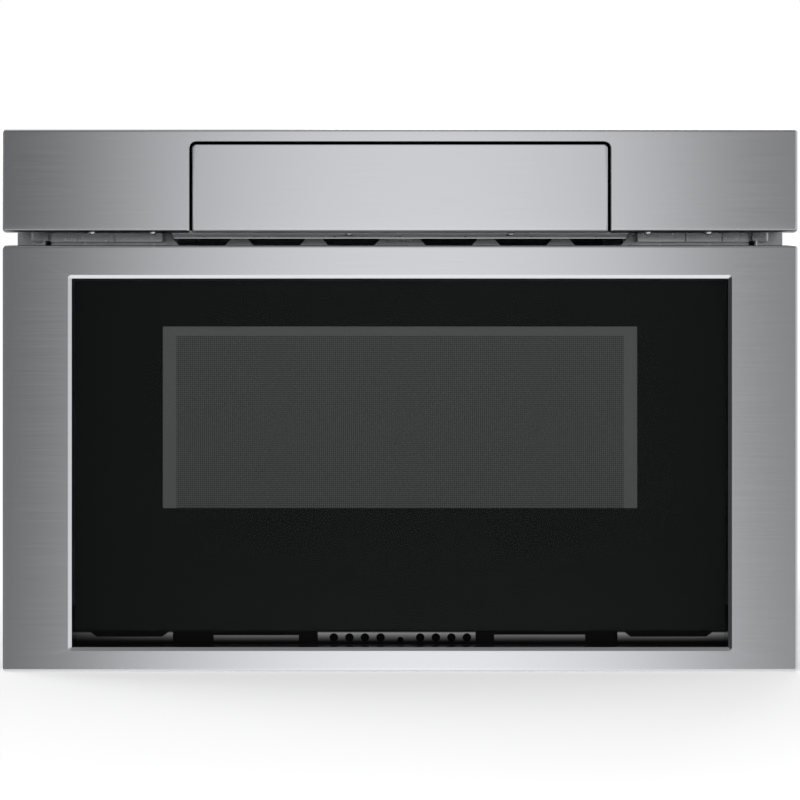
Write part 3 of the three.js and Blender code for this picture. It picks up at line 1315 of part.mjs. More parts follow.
// The toothed sector on the console's left pivot. Tooth 0 points at the pinion at rest.
function tiltSector() {
  const pitchAngle = 360 / SECTOR_TEETH;
  const last = 1;
  const first = -Math.ceil(TILT_TRAVEL / pitchAngle);
  const turn = THREE.MathUtils.degToRad(MESH_ANGLE);
  const turned = toothPoints(SECTOR_TEETH, TILT_MODULE, TILT_BACKLASH, first, last).map(([u, v]) => [
    u * Math.cos(turn) - v * Math.sin(turn),
    u * Math.sin(turn) + v * Math.cos(turn),
  ]);
  const face = [-SECTOR_X - TILT_FACE, -SECTOR_X];
  const wedge = extruded(polygon([[0, 0], ...turned]), 'x', face);
  const hub = rod(PIVOT_RADIUS + 2, 'x', face, [0, 0], 16);
  const bore = rod(PIVOT_RADIUS + SEAT, 'x', [face[0] - 1, face[1] + 1], [0, 0], 16);
  return cut(joined(wedge, hub), bore);
}

function tiltPinion() {
  const outline = polygon(toothPoints(TILT_PINION_TEETH, TILT_MODULE, TILT_BACKLASH, 0, TILT_PINION_TEETH - 1));
  const gear = extruded(outline, 'x', [-SECTOR_X - TILT_FACE, -SECTOR_X]);
  const shaft = rod(TILT_SHAFT_RADIUS, 'x', [-TRAY_HALF - 6, -SECTOR_X - 1], [0, 0]);
  return joined(gear, shaft);
}

function tiltMotor() {
  const face = -TRAY_HALF - SEAT;
  const can = rod(12, 'x', [face - 18, face], [0, 0], ROUND);
  const ears = extruded(rectangle([-17, 17], [-4, 4], 3.5), 'x', [face - 1.5, face]);
  const bore = rod(TILT_SHAFT_RADIUS + SHAFT_PLAY, 'x', [face - 8, face + 1], [0, 0]);
  return cut(joined(can, ears), bore);
}

// ---------------------------------------------------------------- assembly

function buildChassis() {
  piece('base_pan', basePan(), 'zinc', chassis);
  piece('outer_wrap', outerWrap(), 'zinc', chassis);
  piece('rear_cover', rearCover(), 'zinc', chassis);
  piece('cord_gland', cordGland(), 'blackPlastic', chassis).position.set(GLAND_X, BACK_Y, GLAND_Z);
  piece('front_flange', frontFlange(), 'zinc', chassis);
  piece('fascia', fascia(), 'stainless', chassis);
  piece('control_tray', controlTray(), 'zinc', chassis);
  for (const [name, side] of Object.entries(SIDES)) {
    piece(`flange_bracket_${name}`, flangeBracket(side), 'zinc', chassis);
    piece(`interlock_switch_${name}`, interlockSwitch(side), 'greyPlastic', chassis);
    piece(`rail_outer_${name}`, railMember(side, 0), 'zinc', chassis);
  }
  const [pinionY, pinionZ] = tiltPinionCentre();
  piece('console_motor', tiltMotor(), 'greyPlastic', chassis).position.set(0, pinionY, pinionZ);
}

function buildOven() {
  piece('cavity_shell', cavityShell(), 'enamel', chassis);
  piece('waveguide', waveguide(), 'zinc', chassis);
  piece('stirrer', stirrer(), 'zinc', chassis).position.set(0, STIRRER_Y, CAVITY_TOP - STIRRER_DROP);
  piece('stirrer_motor', stirrerMotor(), 'greyPlastic', chassis).position.set(0, STIRRER_Y, WAVEGUIDE_TOP);
  piece('stirrer_cover', stirrerCover(), 'whitePlastic', chassis);
  const magnetron = new THREE.Group();
  magnetron.position.set(0, MAGNETRON_Y, CAVITY_ROOF + SEAT);
  chassis.add(magnetron);
  piece('magnetron_anode', magnetronAnode(), 'copper', magnetron);
  piece('magnetron_yoke', magnetronYoke(), 'zinc', magnetron);
  const transformer = new THREE.Group();
  transformer.position.set(TRANSFORMER_X, TRANSFORMER_Y, SHEET + SEAT);
  chassis.add(transformer);
  piece('transformer_core', transformerCore(), 'laminations', transformer);
  piece('transformer_coil', transformerCoil(), 'copper', transformer);
  piece('capacitor', capacitor(), 'zinc', chassis).position.set(CAPACITOR_X, TRANSFORMER_Y, SHEET + SEAT);
  piece('oven_lamp', ovenLamp(), 'whitePlastic', chassis);
  piece('power_board', powerBoard(), 'board', chassis).position.set(BOARD_X, BOARD_Y, CAVITY_ROOF + SEAT);
}

function buildAir() {
  const blower = new THREE.Group();
  blower.position.set(BLOWER_X, BLOWER_Y, BLOWER_Z);
  chassis.add(blower);
  piece('blower_housing', blowerHousing(), 'blackPlastic', blower);
  piece('blower_wheel', blowerWheel(), 'greyPlastic', blower).position.x = 6;
  piece('blower_motor', blowerMotor(), 'zinc', blower).position.x = BLOWER_WIDTH;
  piece('exhaust_duct', exhaustDuct(), 'zinc', chassis);
}

function buildDrawer() {
  piece('drawer_front_frame', drawerFrontFrame(), 'stainless', drawer);
  piece('front_glass', frontGlass(), 'glass', drawer);
  piece('window_screen', windowScreen(), 'blackSteel', drawer);
  piece('choke_panel', chokePanel(), 'zinc', drawer);
  piece('choke_cover', chokeCover(), 'blackPlastic', drawer);
  piece('inner_glass', innerGlass(), 'glass', drawer);
  piece('lower_vent_plate', lowerVentPlate(), 'blackSteel', drawer);
  piece('drawer_bin', drawerBin(), 'enamel', drawer);
  piece('glass_tray', glassTray(), 'glass', drawer);
  piece('drawer_rack', drawerRack(), 'whitePlastic', drawer);
  for (const [name, side] of Object.entries(SIDES)) {
    piece(`drawer_arm_${name}`, drawerArm(side), 'zinc', drawer);
    piece(`rail_inner_${name}`, railMember(side, 2), 'zinc', drawer);
    piece(`latch_hook_${name}`, latchHook(side), 'whitePlastic', drawer);
    piece(`rail_mid_${name}`, railMember(side, 1), 'zinc', runners);
  }
}

function buildDrive() {
  const drive = new THREE.Group();
  drive.position.set(0, DRIVE_Y, DRIVE_Z);
  chassis.add(drive);
  const pinion = piece('drive_pinion', drivePinion(), 'whitePlastic', drive);
  pinion.rotation.x = Math.PI / 2;
  piece('drive_bracket', driveBracket(), 'zinc', drive);
  piece('drive_motor', driveMotor(), 'zinc', drive);
}

function buildConsole() {
  const tilting = new THREE.Group();
  tilting.position.set(0, PIVOT_Y, PIVOT_Z);
  consoleGroup.add(tilting);
  piece('console_flap', consoleFlap(), 'stainless', consoleGroup);
  piece('console_housing', consoleHousing(), 'blackPlastic', tilting);
  piece('touch_glass', touchGlass(), 'glass', tilting);
  piece('console_board', consoleBoard(), 'board', tilting);
  piece('console_sector', tiltSector(), 'whitePlastic', tilting);
  for (const [name, side] of Object.entries(SIDES)) {
    piece(`console_pin_${name}`, consolePin(side), 'zinc', tilting);
  }
  const [pinionY, pinionZ] = tiltPinionCentre();
  const pinion = piece('console_pinion', tiltPinion(), 'whitePlastic', consoleGroup);
  pinion.position.set(0, pinionY, pinionZ);
  const towardSector = THREE.MathUtils.degToRad(MESH_ANGLE + 180);
  pinion.rotation.x = towardSector + Math.PI / TILT_PINION_TEETH;
}

buildChassis();
buildOven();
buildAir();
buildDrawer();
buildDrive();
buildConsole();

const microwaveDrawer = new THREE.Group();
microwaveDrawer.name = 'microwave_drawer';
microwaveDrawer.add(chassis, drawer, runners, consoleGroup);

export default microwaveDrawer;
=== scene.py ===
# %% [markdown]
# # A built-in microwave drawer
#
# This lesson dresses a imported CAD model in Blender. The object is a microwave oven in a drawer:
# a stainless control panel with a flap that tilts out, and under it a drawer whose stainless
# frame holds a dark glass with a perforated window.
#
# The CAD gives every piece its real place, so nothing is fitted here. What Blender adds is the
# finish of each material, fine edges, fasteners, and the light that makes brushed steel read.

import math

import bmesh
import bpy
from mathutils import Matrix, Vector


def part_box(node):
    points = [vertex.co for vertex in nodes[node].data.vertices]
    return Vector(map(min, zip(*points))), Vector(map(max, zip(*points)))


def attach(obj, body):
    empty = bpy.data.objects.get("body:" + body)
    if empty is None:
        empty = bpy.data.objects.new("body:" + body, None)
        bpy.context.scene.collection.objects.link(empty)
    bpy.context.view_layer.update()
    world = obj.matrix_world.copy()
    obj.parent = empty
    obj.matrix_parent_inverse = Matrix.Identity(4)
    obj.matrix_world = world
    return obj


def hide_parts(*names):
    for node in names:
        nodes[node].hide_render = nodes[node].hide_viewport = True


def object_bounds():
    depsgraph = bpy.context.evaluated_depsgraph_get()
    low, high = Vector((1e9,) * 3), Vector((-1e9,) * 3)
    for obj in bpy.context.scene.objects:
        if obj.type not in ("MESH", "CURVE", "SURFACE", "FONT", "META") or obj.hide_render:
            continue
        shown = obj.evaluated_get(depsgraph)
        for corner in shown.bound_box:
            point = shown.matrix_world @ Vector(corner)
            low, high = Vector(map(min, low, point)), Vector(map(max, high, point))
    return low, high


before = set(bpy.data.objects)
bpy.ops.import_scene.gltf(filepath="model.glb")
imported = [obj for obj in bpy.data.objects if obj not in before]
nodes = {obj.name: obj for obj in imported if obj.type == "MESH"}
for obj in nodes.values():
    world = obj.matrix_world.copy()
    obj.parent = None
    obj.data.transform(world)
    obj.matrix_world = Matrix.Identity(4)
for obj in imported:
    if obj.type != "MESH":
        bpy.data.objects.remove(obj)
cad_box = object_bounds()
print("CAD box in metres:", cad_box)

# %% [markdown]
# Sizes on the drawings of such a product are in millimetres, and Blender works in metres.
# One small function turns millimetres to metres, so that every number below reads as on a
# drawing.

# %% Millimetres
MM = 0.001


def mm(*values):
    """Millimetres to metres, for one value or several."""
    metres = tuple(value * MM for value in values)
    return metres[0] if len(metres) == 1 else metres


# %% [markdown]
# ## The camera
#
# The photograph looks straight at the front. Its size in the picture and how far the rear
# pieces shift in the gap put the camera about 1.45 m before the steel. The lens follows from
# that distance: 609.4 mm of the front plane fill a 36 mm sensor.

# %% Camera
FRONT_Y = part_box("drawer_front_frame")[0][1]
CAMERA_DISTANCE = 1.45
CAMERA_HEIGHT = mm(194)
PICTURE_WIDTH = mm(609.4)
SENSOR = 36

camera_data = bpy.data.cameras.new("camera")
camera_data.sensor_width = SENSOR
camera_data.lens = SENSOR * CAMERA_DISTANCE / PICTURE_WIDTH
camera = bpy.data.objects.new("camera", camera_data)
bpy.context.scene.collection.objects.link(camera)
camera.location = (0, FRONT_Y - CAMERA_DISTANCE, CAMERA_HEIGHT)
camera.rotation_euler = (math.radians(90), 0, 0)
bpy.context.scene.camera = camera
print("Lens in mm:", round(camera_data.lens, 2))

# %% [markdown]
# ## Adding nodes
#
# Every material and the world are built from nodes. One function adds a node, sets its
# options, and fills each input with a plain value or with a link, whichever it is given.


# %% Node helper and colours
def add(tree, kind, inputs=None, **settings):
    """Adds a node. An input that is given a socket is linked, and any other is set."""
    node = tree.nodes.new(kind)
    for name, value in settings.items():
        setattr(node, name, value)
    for name, value in (inputs or {}).items():
        if isinstance(value, bpy.types.NodeSocket):
            tree.links.new(value, node.inputs[name])
        else:
            node.inputs[name].default_value = value
    return node


def linear(hex_colour):
    """An sRGB colour such as "#cdced2", as linear red, green, blue and alpha."""
    levels = [int(hex_colour[i : i + 2], 16) / 255 for i in (1, 3, 5)]
    return (*[c / 12.92 if c <= 0.04045 else ((c + 0.055) / 1.055) ** 2.4 for c in levels], 1)


def stops(ramp, pairs):
    """Sets the stops of a colour ramp from (place, colour) pairs."""
    elements = ramp.color_ramp.elements
    while len(elements) < len(pairs):
        elements.new(0.5)
    for element, (place, colour) in zip(elements, pairs):
        element.position = place
        element.color = colour


# %% [markdown]
# ## Studio light
#
# Brushed steel has no colour of its own: it shows what stands round it. The photograph was
# taken with one broad pale panel behind the camera, darker to both sides and overhead, brighter
# toward the floor, with a bright wall at the right and a dark one at the left. The world repeats
# that studio for reflections only. The camera itself sees plain white, and diffuse surfaces get
# an even grey light.

# %% Studio brightness
PANEL = [  # azimuth in degrees, 0 at the camera, and the studio's brightness there
    (-180, 1.0),
    (-125, 0.8),
    (-102, 0.55),
    (-88, 0.3),
    (-82, 0.05),
    (-62, 0.05),
    (-50, 0.3),
    (-30, 0.34),
    (-18, 0.13),
    (-12.5, 0.11),
    (-10.6, 0.19),
    (-9.0, 0.38),
    (-7.4, 0.68),
    (-5.0, 0.86),
    (-2.5, 1.02),
    (0, 1.06),
    (3.0, 1.06),
    (5.0, 0.94),
    (7.2, 0.85),
    (8.4, 0.68),
    (9.8, 0.40),
    (11.2, 0.28),
    (16, 0.27),
    (26, 0.45),
    (40, 0.7),
    (65, 0.85),
    (90, 0.85),
    (110, 0.7),
    (140, 0.8),
    (180, 1.0),
]
RISE = [  # elevation in degrees, and how much brighter the studio's front is there
    (-90, 1.35),
    (-30, 1.45),
    (-14, 1.48),
    (-7.5, 1.37),
    (-4, 1.12),
    (0, 1.05),
    (4, 1.02),
    (8, 0.97),
    (28, 0.8),
    (50, 0.5),
    (70, 0.28),
    (90, 0.22),
]
AMBIENT = 0.5  # the even light on diffuse surfaces
LOW_LIGHT = 1.3  # the light on them from low in front, off the pale floor
LOW = (-40, 6)  # the elevations between which it comes in
LOW_FADE = (10, -4)  # degrees over which it fades at both
STEEP = (35, 65)  # between these elevations the azimuth stops to matter

# %% World
world = bpy.data.worlds.new("studio")
world.use_nodes = True
bpy.context.scene.world = world
sky = world.node_tree
sky.nodes.clear()
direction = add(sky, "ShaderNodeTexCoord").outputs["Generated"]
parts = add(sky, "ShaderNodeSeparateXYZ", {0: direction}).outputs
toward = add(sky, "ShaderNodeMath", {0: parts["Y"], 1: -1}, operation="MULTIPLY").outputs[0]
azimuth = add(sky, "ShaderNodeMath", {0: parts["X"], 1: toward}, operation="ARCTAN2").outputs[0]
height = add(sky, "ShaderNodeMath", {0: parts["Z"]}, operation="ARCSINE").outputs[0]


def sky_range(value, low, high, **inputs):
    """A value between two angles in degrees, as 0 to 1."""
    limits = {"Value": value, "From Min": math.radians(low), "From Max": math.radians(high)}
    return add(sky, "ShaderNodeMapRange", {**limits, **inputs}).outputs[0]


def sky_mix(factor, first, second):
    inputs = {"Factor": factor, 6: first, 7: second}
    return add(sky, "ShaderNodeMix", inputs, data_type="RGBA").outputs[2]


def grey(value):
    return (value, value, value, 1)


panel = add(sky, "ShaderNodeValToRGB", {0: sky_range(azimuth, -180, 180)})
stops(panel, [((angle + 180) / 360, grey(value)) for angle, value in PANEL])
rise = add(sky, "ShaderNodeValToRGB", {0: sky_range(height, -90, 90)})
stops(rise, [((angle + 90) / 180, grey(value)) for angle, value in RISE])
in_front = add(
    sky, "ShaderNodeMapRange", {"Value": parts["Y"], "From Min": 0.15, "From Max": -0.15}
).outputs[0]
front_rise = sky_mix(in_front, grey(1.0), rise.outputs[0])
graded = add(
    sky, "ShaderNodeVectorMath", {0: panel.outputs[0], 1: front_rise}, operation="MULTIPLY"
).outputs[0]
tilt = add(sky, "ShaderNodeMath", {0: height}, operation="ABSOLUTE").outputs[0]
studio = sky_mix(sky_range(tilt, *STEEP), graded, front_rise)
rays = add(sky, "ShaderNodeLightPath").outputs
upper = {0: sky_range(height, LOW[1], LOW[1] + LOW_FADE[1]), 1: in_front}
below = add(sky, "ShaderNodeMath", upper, operation="MULTIPLY").outputs[0]
lower = {0: sky_range(height, LOW[0], LOW[0] + LOW_FADE[0]), 1: below}
low = add(sky, "ShaderNodeMath", lower, operation="MULTIPLY").outputs[0]
diffuse_light = sky_mix(low, grey(AMBIENT), grey(LOW_LIGHT))
lighting = sky_mix(rays["Is Glossy Ray"], diffuse_light, studio)
white = add(
    sky,
    "ShaderNodeMath",
    {0: rays["Is Camera Ray"], 1: rays["Is Transmission Ray"]},
    operation="MAXIMUM",
).outputs[0]
seen = sky_mix(white, lighting, grey(1.0))
background = add(sky, "ShaderNodeBackground", {"Color": seen, "Strength": 1.0})
add(sky, "ShaderNodeOutputWorld", {"Surface": background.outputs[0]})
print("World nodes:", len(sky.nodes))

# %% [markdown]
# Large soft lamps give the form its shading: a key high at the left, a weaker fill at the
# right, and two behind for the oven's cabinet side. They are big and far, so their shadows stay
# soft. The two in front don't show in reflections, because the steel has the studio for that.

# %% Lamps
LAMPS = {  # place in metres, size in metres, power in watts, seen in reflections
    "key": ((-1.1, -1.7, 2.1), 1.6, 26, False),
    "fill": ((1.7, -1.3, 1.2), 1.4, 12, False),
    "rear": ((0.6, 2.4, 1.9), 1.6, 26, True),
    "side": ((-2.2, 1.2, 1.3), 1.4, 16, True),
}
aim = Vector((0, 0.2, 0.15))
for name, (place, size, power, reflected) in LAMPS.items():
    lamp = bpy.data.lights.new(name, "AREA")
    lamp.shape = "SQUARE"
    lamp.size = size
    lamp.energy = power
    holder = bpy.data.objects.new(name, lamp)
    bpy.context.scene.collection.objects.link(holder)
    holder.location = place
    holder.rotation_euler = (aim - Vector(place)).to_track_quat("-Z", "Y").to_euler()
    holder.visible_glossy = reflected
bpy.context.scene.view_settings.view_transform = "Standard"
print("Lamps:", list(LAMPS))

# %% [markdown]
# ## Building meshes
#
# Sheet steel is folded, glass is ground and motors are turned, so most pieces come from two
# moves: a loft through rings of points, and a lathe. Each piece is made with bmesh in real
# sizes, rides on its CAD body, and says which CAD node it stands for.


# %% Mesh helpers
def piece(name, bm, material, slot, body, *replaced):
    """Makes an object from a bmesh, in the part's own frame, and ties it to a CAD body."""
    bmesh.ops.recalc_face_normals(bm, faces=bm.faces)
    mesh = bpy.data.meshes.new(name)
    bm.to_mesh(mesh)
    bm.free()
    obj = bpy.data.objects.new(name, mesh)
    bpy.context.scene.collection.objects.link(obj)
    mesh.materials.append(material)
    smooth(obj)
    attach(obj, body)
    if replaced:
        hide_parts(*replaced)
    return obj


SMOOTH_ANGLE = math.radians(32)


def smoothing_group():
    """Shades faces smooth, and keeps an edge sharp where it turns by more than the angle."""
    group = bpy.data.node_groups.new("smooth_by_angle", "GeometryNodeTree")
    group.interface.new_socket("Geometry", in_out="INPUT", socket_type="NodeSocketGeometry")
    group.interface.new_socket("Geometry", in_out="OUTPUT", socket_type="NodeSocketGeometry")
    start = add(group, "NodeGroupInput")
    angle = add(group, "GeometryNodeInputMeshEdgeAngle").outputs[0]
    gentle = add(
        group, "FunctionNodeCompare", {"A": angle, "B": SMOOTH_ANGLE}, operation="LESS_THAN"
    ).outputs[0]
    faces = add(
        group,
        "GeometryNodeSetShadeSmooth",
        {"Geometry": start.outputs[0], "Shade Smooth": True},
        domain="FACE",
    ).outputs[0]
    edges = add(
        group,
        "GeometryNodeSetShadeSmooth",
        {"Geometry": faces, "Shade Smooth": gentle},
        domain="EDGE",
    ).outputs[0]
    add(group, "NodeGroupOutput", {0: edges})
    return group


SMOOTHING = smoothing_group()


def smooth(obj):
    """Smooth shading that leaves large flat faces truly flat."""
    modifier = obj.modifiers.new("smooth_by_angle", "NODES")
    modifier.node_group = SMOOTHING
    weighting = obj.modifiers.new("flat_faces", "WEIGHTED_NORMAL")
    weighting.weight = 100
    weighting.keep_sharp = True


def loft(bm, rings, closed=False):
    """Joins rings of as many points each with four-sided faces."""
    made = [[bm.verts.new(point) for point in ring] for ring in rings]
    pairs = list(zip(made, made[1:])) + ([(made[-1], made[0])] if closed else [])
    for low, high in pairs:
        count = len(low)
        for index in range(count):
            after = (index + 1) % count
            bm.faces.new((low[index], low[after], high[after], high[index]))
    return made


def lathe(bm, profile, centre, axis, sides=32):
    """Turns a profile of (radius, distance along the axis) pairs, in mm, round an axis."""
    along = {"x": Vector((1, 0, 0)), "y": Vector((0, 1, 0)), "z": Vector((0, 0, 1))}[axis]
    u = Vector((0, 0, 1)) if axis != "z" else Vector((1, 0, 0))
    v = along.cross(u)
    rings = []
    for radius, distance in profile:
        turns = [2 * math.pi * index / sides for index in range(sides)]
        rings.append(
            [
                Vector(centre)
                + along * mm(distance)
                + (u * math.cos(turn) + v * math.sin(turn)) * mm(radius)
                for turn in turns
            ]
        )
    made = loft(bm, rings)
    bm.faces.new(reversed(made[0]))
    bm.faces.new(made[-1])


print("Mesh helpers are ready")

# %% [markdown]
# ## Brushed stainless steel
#
# The fronts are ferritic stainless sheet, brushed along its length. The belt leaves fine
# scratches that run left to right, so a highlight is drawn out up and down, across them. Two
# things give that to the eye: an anisotropic gloss whose tangent follows the scratches, and
# streak noise, stretched along the scratches, in colour, roughness and bump. Real scratches
# are about 0.05 mm wide. They are drawn 0.7 mm wide here so that they show.


# %% Surface material helper
def surface(name, hex_colour, **values):
    """A Principled material. Returns the material, its node tree and its shader."""
    material = bpy.data.materials.new(name)
    material.use_nodes = True
    tree = material.node_tree
    shader = tree.nodes["Principled BSDF"]
    shader.inputs["Base Color"].default_value = linear(hex_colour)
    material.diffuse_color = linear(hex_colour)
    for key, value in values.items():
        shader.inputs[key.replace("_", " ")].default_value = value
    return material, tree, shader


def place_in(tree, scale):
    """The point on the object, in its own frame, times a scale for each axis, per metre."""
    point = add(tree, "ShaderNodeTexCoord").outputs["Object"]
    return add(tree, "ShaderNodeVectorMath", {0: point, 1: scale}, operation="MULTIPLY").outputs[0]


def drive(tree, shader, socket, value, low, high):
    """Feeds a 0 to 1 value into a shader's input, as a number from low to high."""
    spread = add(tree, "ShaderNodeMapRange", {"Value": value, "To Min": low, "To Max": high})
    tree.links.new(spread.outputs[0], shader.inputs[socket])


def tint(tree, shader, value, dark, light):
    """Feeds a 0 to 1 value into the base colour, as a mix of two colours."""
    mix = add(
        tree,
        "ShaderNodeMix",
        {"Factor": value, 6: linear(dark), 7: linear(light)},
        data_type="RGBA",
    )
    tree.links.new(mix.outputs[2], shader.inputs["Base Color"])


def bump(tree, shader, value, depth, strength=1.0):
    """Feeds a 0 to 1 height into the normal. The depth is in millimetres."""
    node = add(
        tree, "ShaderNodeBump", {"Height": value, "Distance": mm(depth), "Strength": strength}
    )
    tree.links.new(node.outputs[0], shader.inputs["Normal"])


def noise(tree, scale, detail=2.0, roughness=0.5):
    """Noise whose grains measure 1 / scale metres along each axis."""
    node = add(
        tree,
        "ShaderNodeTexNoise",
        {"Vector": place_in(tree, scale), "Scale": 1.0, "Detail": detail, "Roughness": roughness},
    )
    return node.outputs[0]


# %% Brushed stainless
SCRATCH_WIDTH = mm(0.7)
SCRATCH_LENGTH = mm(60)


def brushed(name, hex_dark, hex_light, roughness):
    steel, tree, shader = surface(
        name, hex_light, Metallic=1.0, Roughness=roughness, Anisotropic=0.8
    )
    shader.inputs["Anisotropic Rotation"].default_value = 0.25
    grain = (1 / SCRATCH_LENGTH, 1 / SCRATCH_LENGTH, 1 / SCRATCH_WIDTH)
    streak = noise(tree, grain, detail=4.0, roughness=0.6)
    tint(tree, shader, streak, hex_dark, hex_light)
    drive(tree, shader, "Roughness", streak, roughness - 0.05, roughness + 0.05)
    bump(tree, shader, streak, 0.004, 0.35)
    tangent = add(tree, "ShaderNodeTangent", direction_type="RADIAL", axis="Z")
    tree.links.new(tangent.outputs[0], shader.inputs["Tangent"])
    return steel


stainless = brushed("brushed_stainless", "#c6c7ca", "#d0d1d5", 0.2)
# The mill finish on faces that look down: rougher, and its darker grey is painted shade.
shaded_mill_steel = brushed("mill_finish_painted_shade", "#7c7d80", "#88898c", 0.3)
print("Stainless nodes:", len(stainless.node_tree.nodes))

# %% [markdown]
# ## Galvanised steel
#
# Everything behind the fronts is zinc-coated sheet. Zinc freezes in crystals, the spangle,
# about 8 mm across, each of which mirrors a little differently. Voronoi cells give each
# crystal its own grey and roughness.

# %% Zinc sheet
SPANGLE = mm(7)
zinc, tree, shader = surface("zinc_sheet", "#a4a6a9", Metallic=0.6, Roughness=0.45)
cells = add(
    tree,
    "ShaderNodeTexVoronoi",
    {"Vector": place_in(tree, [1 / SPANGLE] * 3), "Scale": 1.0, "Randomness": 1.0},
)
crystal = add(tree, "ShaderNodeSeparateColor", {0: cells.outputs["Color"]}).outputs[0]
tint(tree, shader, crystal, "#9fa2a6", "#b4b6b9")
drive(tree, shader, "Roughness", crystal, 0.38, 0.55)
bump(tree, shader, noise(tree, [1 / mm(1.2)] * 3), 0.01, 0.3)
print("Zinc nodes:", len(tree.nodes))

# %% [markdown]
# Screws, plates and rolled edges get a plain zinc without spangle. Its kinds differ only in how
# pale and how polished they are.

# %% Plain zincs
BURNISH = mm(3)


def plain_zinc(name, hex_dark, hex_light, metallic, roughness):
    """Zinc without spangle, as on screws and on thin cold-rolled sheet."""
    metal, tree, shader = surface(name, hex_light, Metallic=metallic, Roughness=roughness)
    rubbed = noise(tree, [1 / BURNISH] * 3)
    tint(tree, shader, rubbed, hex_dark, hex_light)
    drive(tree, shader, "Roughness", rubbed, roughness - 0.06, roughness + 0.06)
    bump(tree, shader, rubbed, 0.006, 0.3)
    return metal


bright_zinc = plain_zinc("bright_zinc", "#b9bbbd", "#c8cacc", 1.0, 0.28)

# The light of this studio is weak under the tray's lip, so light is painted into its material
# there: it is pale, and paler still toward the back.
LIP_FADE = (-50, -41)  # depths between which it turns pale, mm
pale_steel, tree, shader = surface("pale_steel", "#d8d9dc", Metallic=0.15, Roughness=0.35)
back = add(
    tree, "ShaderNodeSeparateXYZ", {0: add(tree, "ShaderNodeTexCoord").outputs["Object"]}
).outputs["Y"]
lip_painted_light = add(
    tree,
    "ShaderNodeMapRange",
    {"Value": back, "From Min": mm(LIP_FADE[0]), "From Max": mm(LIP_FADE[1])},
).outputs[0]
tint(tree, shader, lip_painted_light, "#b9babd", "#f4f5f6")
bump(tree, shader, noise(tree, [1 / BURNISH] * 3), 0.006, 0.3)
polished_hem = plain_zinc("polished_hem", "#babbbe", "#c2c3c6", 1.0, 0.12)
rolled_zinc = plain_zinc("rolled_zinc", "#a9abae", "#b5b7ba", 1.0, 0.25)
plate_zinc = plain_zinc("plate_zinc", "#dcdee1", "#e4e6e8", 0.85, 0.25)
print("Plain zincs are ready")

# %% [markdown]
# ## Painted and enamelled steel
#
# The oven's cavity and bin are coated with grey acrylic enamel, flecked with fine dark and
# pale specks that hide stains. The plates in the recess are painted black: a satin powder
# coat with the slight orange peel that baked powder has.

# %% Enamel and black paint
FLECK = mm(1.1)
enamel, tree, shader = surface("grey_enamel", "#8f9190", Roughness=0.34)
fleck = noise(tree, [1 / FLECK] * 3, detail=1.0)
speck = add(tree, "ShaderNodeValToRGB", {0: fleck})
stops(
    speck,
    [
        (0.30, linear("#6f7170")),
        (0.38, linear("#8c8e8d")),
        (0.62, linear("#939594")),
        (0.70, linear("#a9abaa")),
    ],
)
tree.links.new(speck.outputs[0], shader.inputs["Base Color"])
bump(tree, shader, noise(tree, [1 / mm(2.5)] * 3), 0.02, 0.4)
shader.inputs["Coat Weight"].default_value = 0.3
shader.inputs["Coat Roughness"].default_value = 0.12


def powder_coat(name, hex_dark, hex_light, roughness):
    paint, tree, shader = surface(name, hex_light, Roughness=roughness)
    peel = noise(tree, [1 / mm(1.6)] * 3)
    tint(tree, shader, peel, hex_dark, hex_light)
    drive(tree, shader, "Roughness", peel, roughness - 0.06, roughness + 0.06)
    bump(tree, shader, peel, 0.02, 0.5)
    return paint


black_steel = powder_coat("black_steel", "#070708", "#0c0c0d", 0.7)
black_steel.node_tree.nodes["Principled BSDF"].inputs["Specular IOR Level"].default_value = 0.15
print("Enamel and powder coat are ready")

# %% [markdown]
# The pads pressed into the recess plate stand 2 mm proud. In the photograph they are grey at the
# top and fade to black below. That fade is put in the paint here, not left to the light: it grows
# with the square of the height, falls off at the upper edge, and is weaker on the left pad.

# %% Paint of the recess plate
PAD_FACE = -39.5  # the pads' faces lie in front of this depth, mm
PAD_RISE = (6.6, 13.9)  # heights between which the pads grow lighter, mm
PAD_TOP = 15.0  # and where their upper edge is dark again
PAD_LIGHT = 0.78
PAD_SHADE = (-250, -130)  # the left pad lies in more and more shade, x in mm
pressed_paint, tree, shader = surface("pressed_paint", "#0c0c0d", Roughness=0.6)
shader.inputs["Specular IOR Level"].default_value = 0.15
point = add(
    tree, "ShaderNodeSeparateXYZ", {0: add(tree, "ShaderNodeTexCoord").outputs["Object"]}
).outputs
proud = add(
    tree, "ShaderNodeMath", {0: point["Y"], 1: mm(PAD_FACE)}, operation="LESS_THAN"
).outputs[0]
limits = {"Value": point["Z"], "From Min": mm(PAD_RISE[0]), "From Max": mm(PAD_RISE[1])}
rising = add(tree, "ShaderNodeMapRange", limits).outputs[0]
squared = add(tree, "ShaderNodeMath", {0: rising, 1: rising}, operation="MULTIPLY").outputs[0]
limits = {"Value": point["Z"], "From Min": mm(PAD_TOP), "From Max": mm(PAD_RISE[1])}
edge = add(tree, "ShaderNodeMapRange", {**limits, "To Max": PAD_LIGHT}).outputs[0]
fade = add(tree, "ShaderNodeMath", {0: squared, 1: edge}, operation="MULTIPLY").outputs[0]
peel = noise(tree, [1 / mm(1.6)] * 3)
shade = add(
    tree,
    "ShaderNodeMapRange",
    {
        "Value": point["X"],
        "From Min": mm(PAD_SHADE[0]),
        "From Max": mm(PAD_SHADE[1]),
        "To Min": 0.25,
    },
).outputs[0]
lit_pad = add(
    tree, "ShaderNodeMath", {0: fade, 1: shade}, operation="MULTIPLY"
).outputs[0]
# Black paint beside the pads, and on their faces the painted light of the fade.
coat = add(
    tree,
    "ShaderNodeMix",
    {"Factor": proud, 6: linear("#0a0a0b"), 7: lit_pad},
    data_type="RGBA",
).outputs[2]
tree.links.new(coat, shader.inputs["Base Color"])
bump(tree, shader, peel, 0.02, 0.5)
print("Pads grow lighter from", PAD_RISE[0], "to", PAD_RISE[1], "mm")

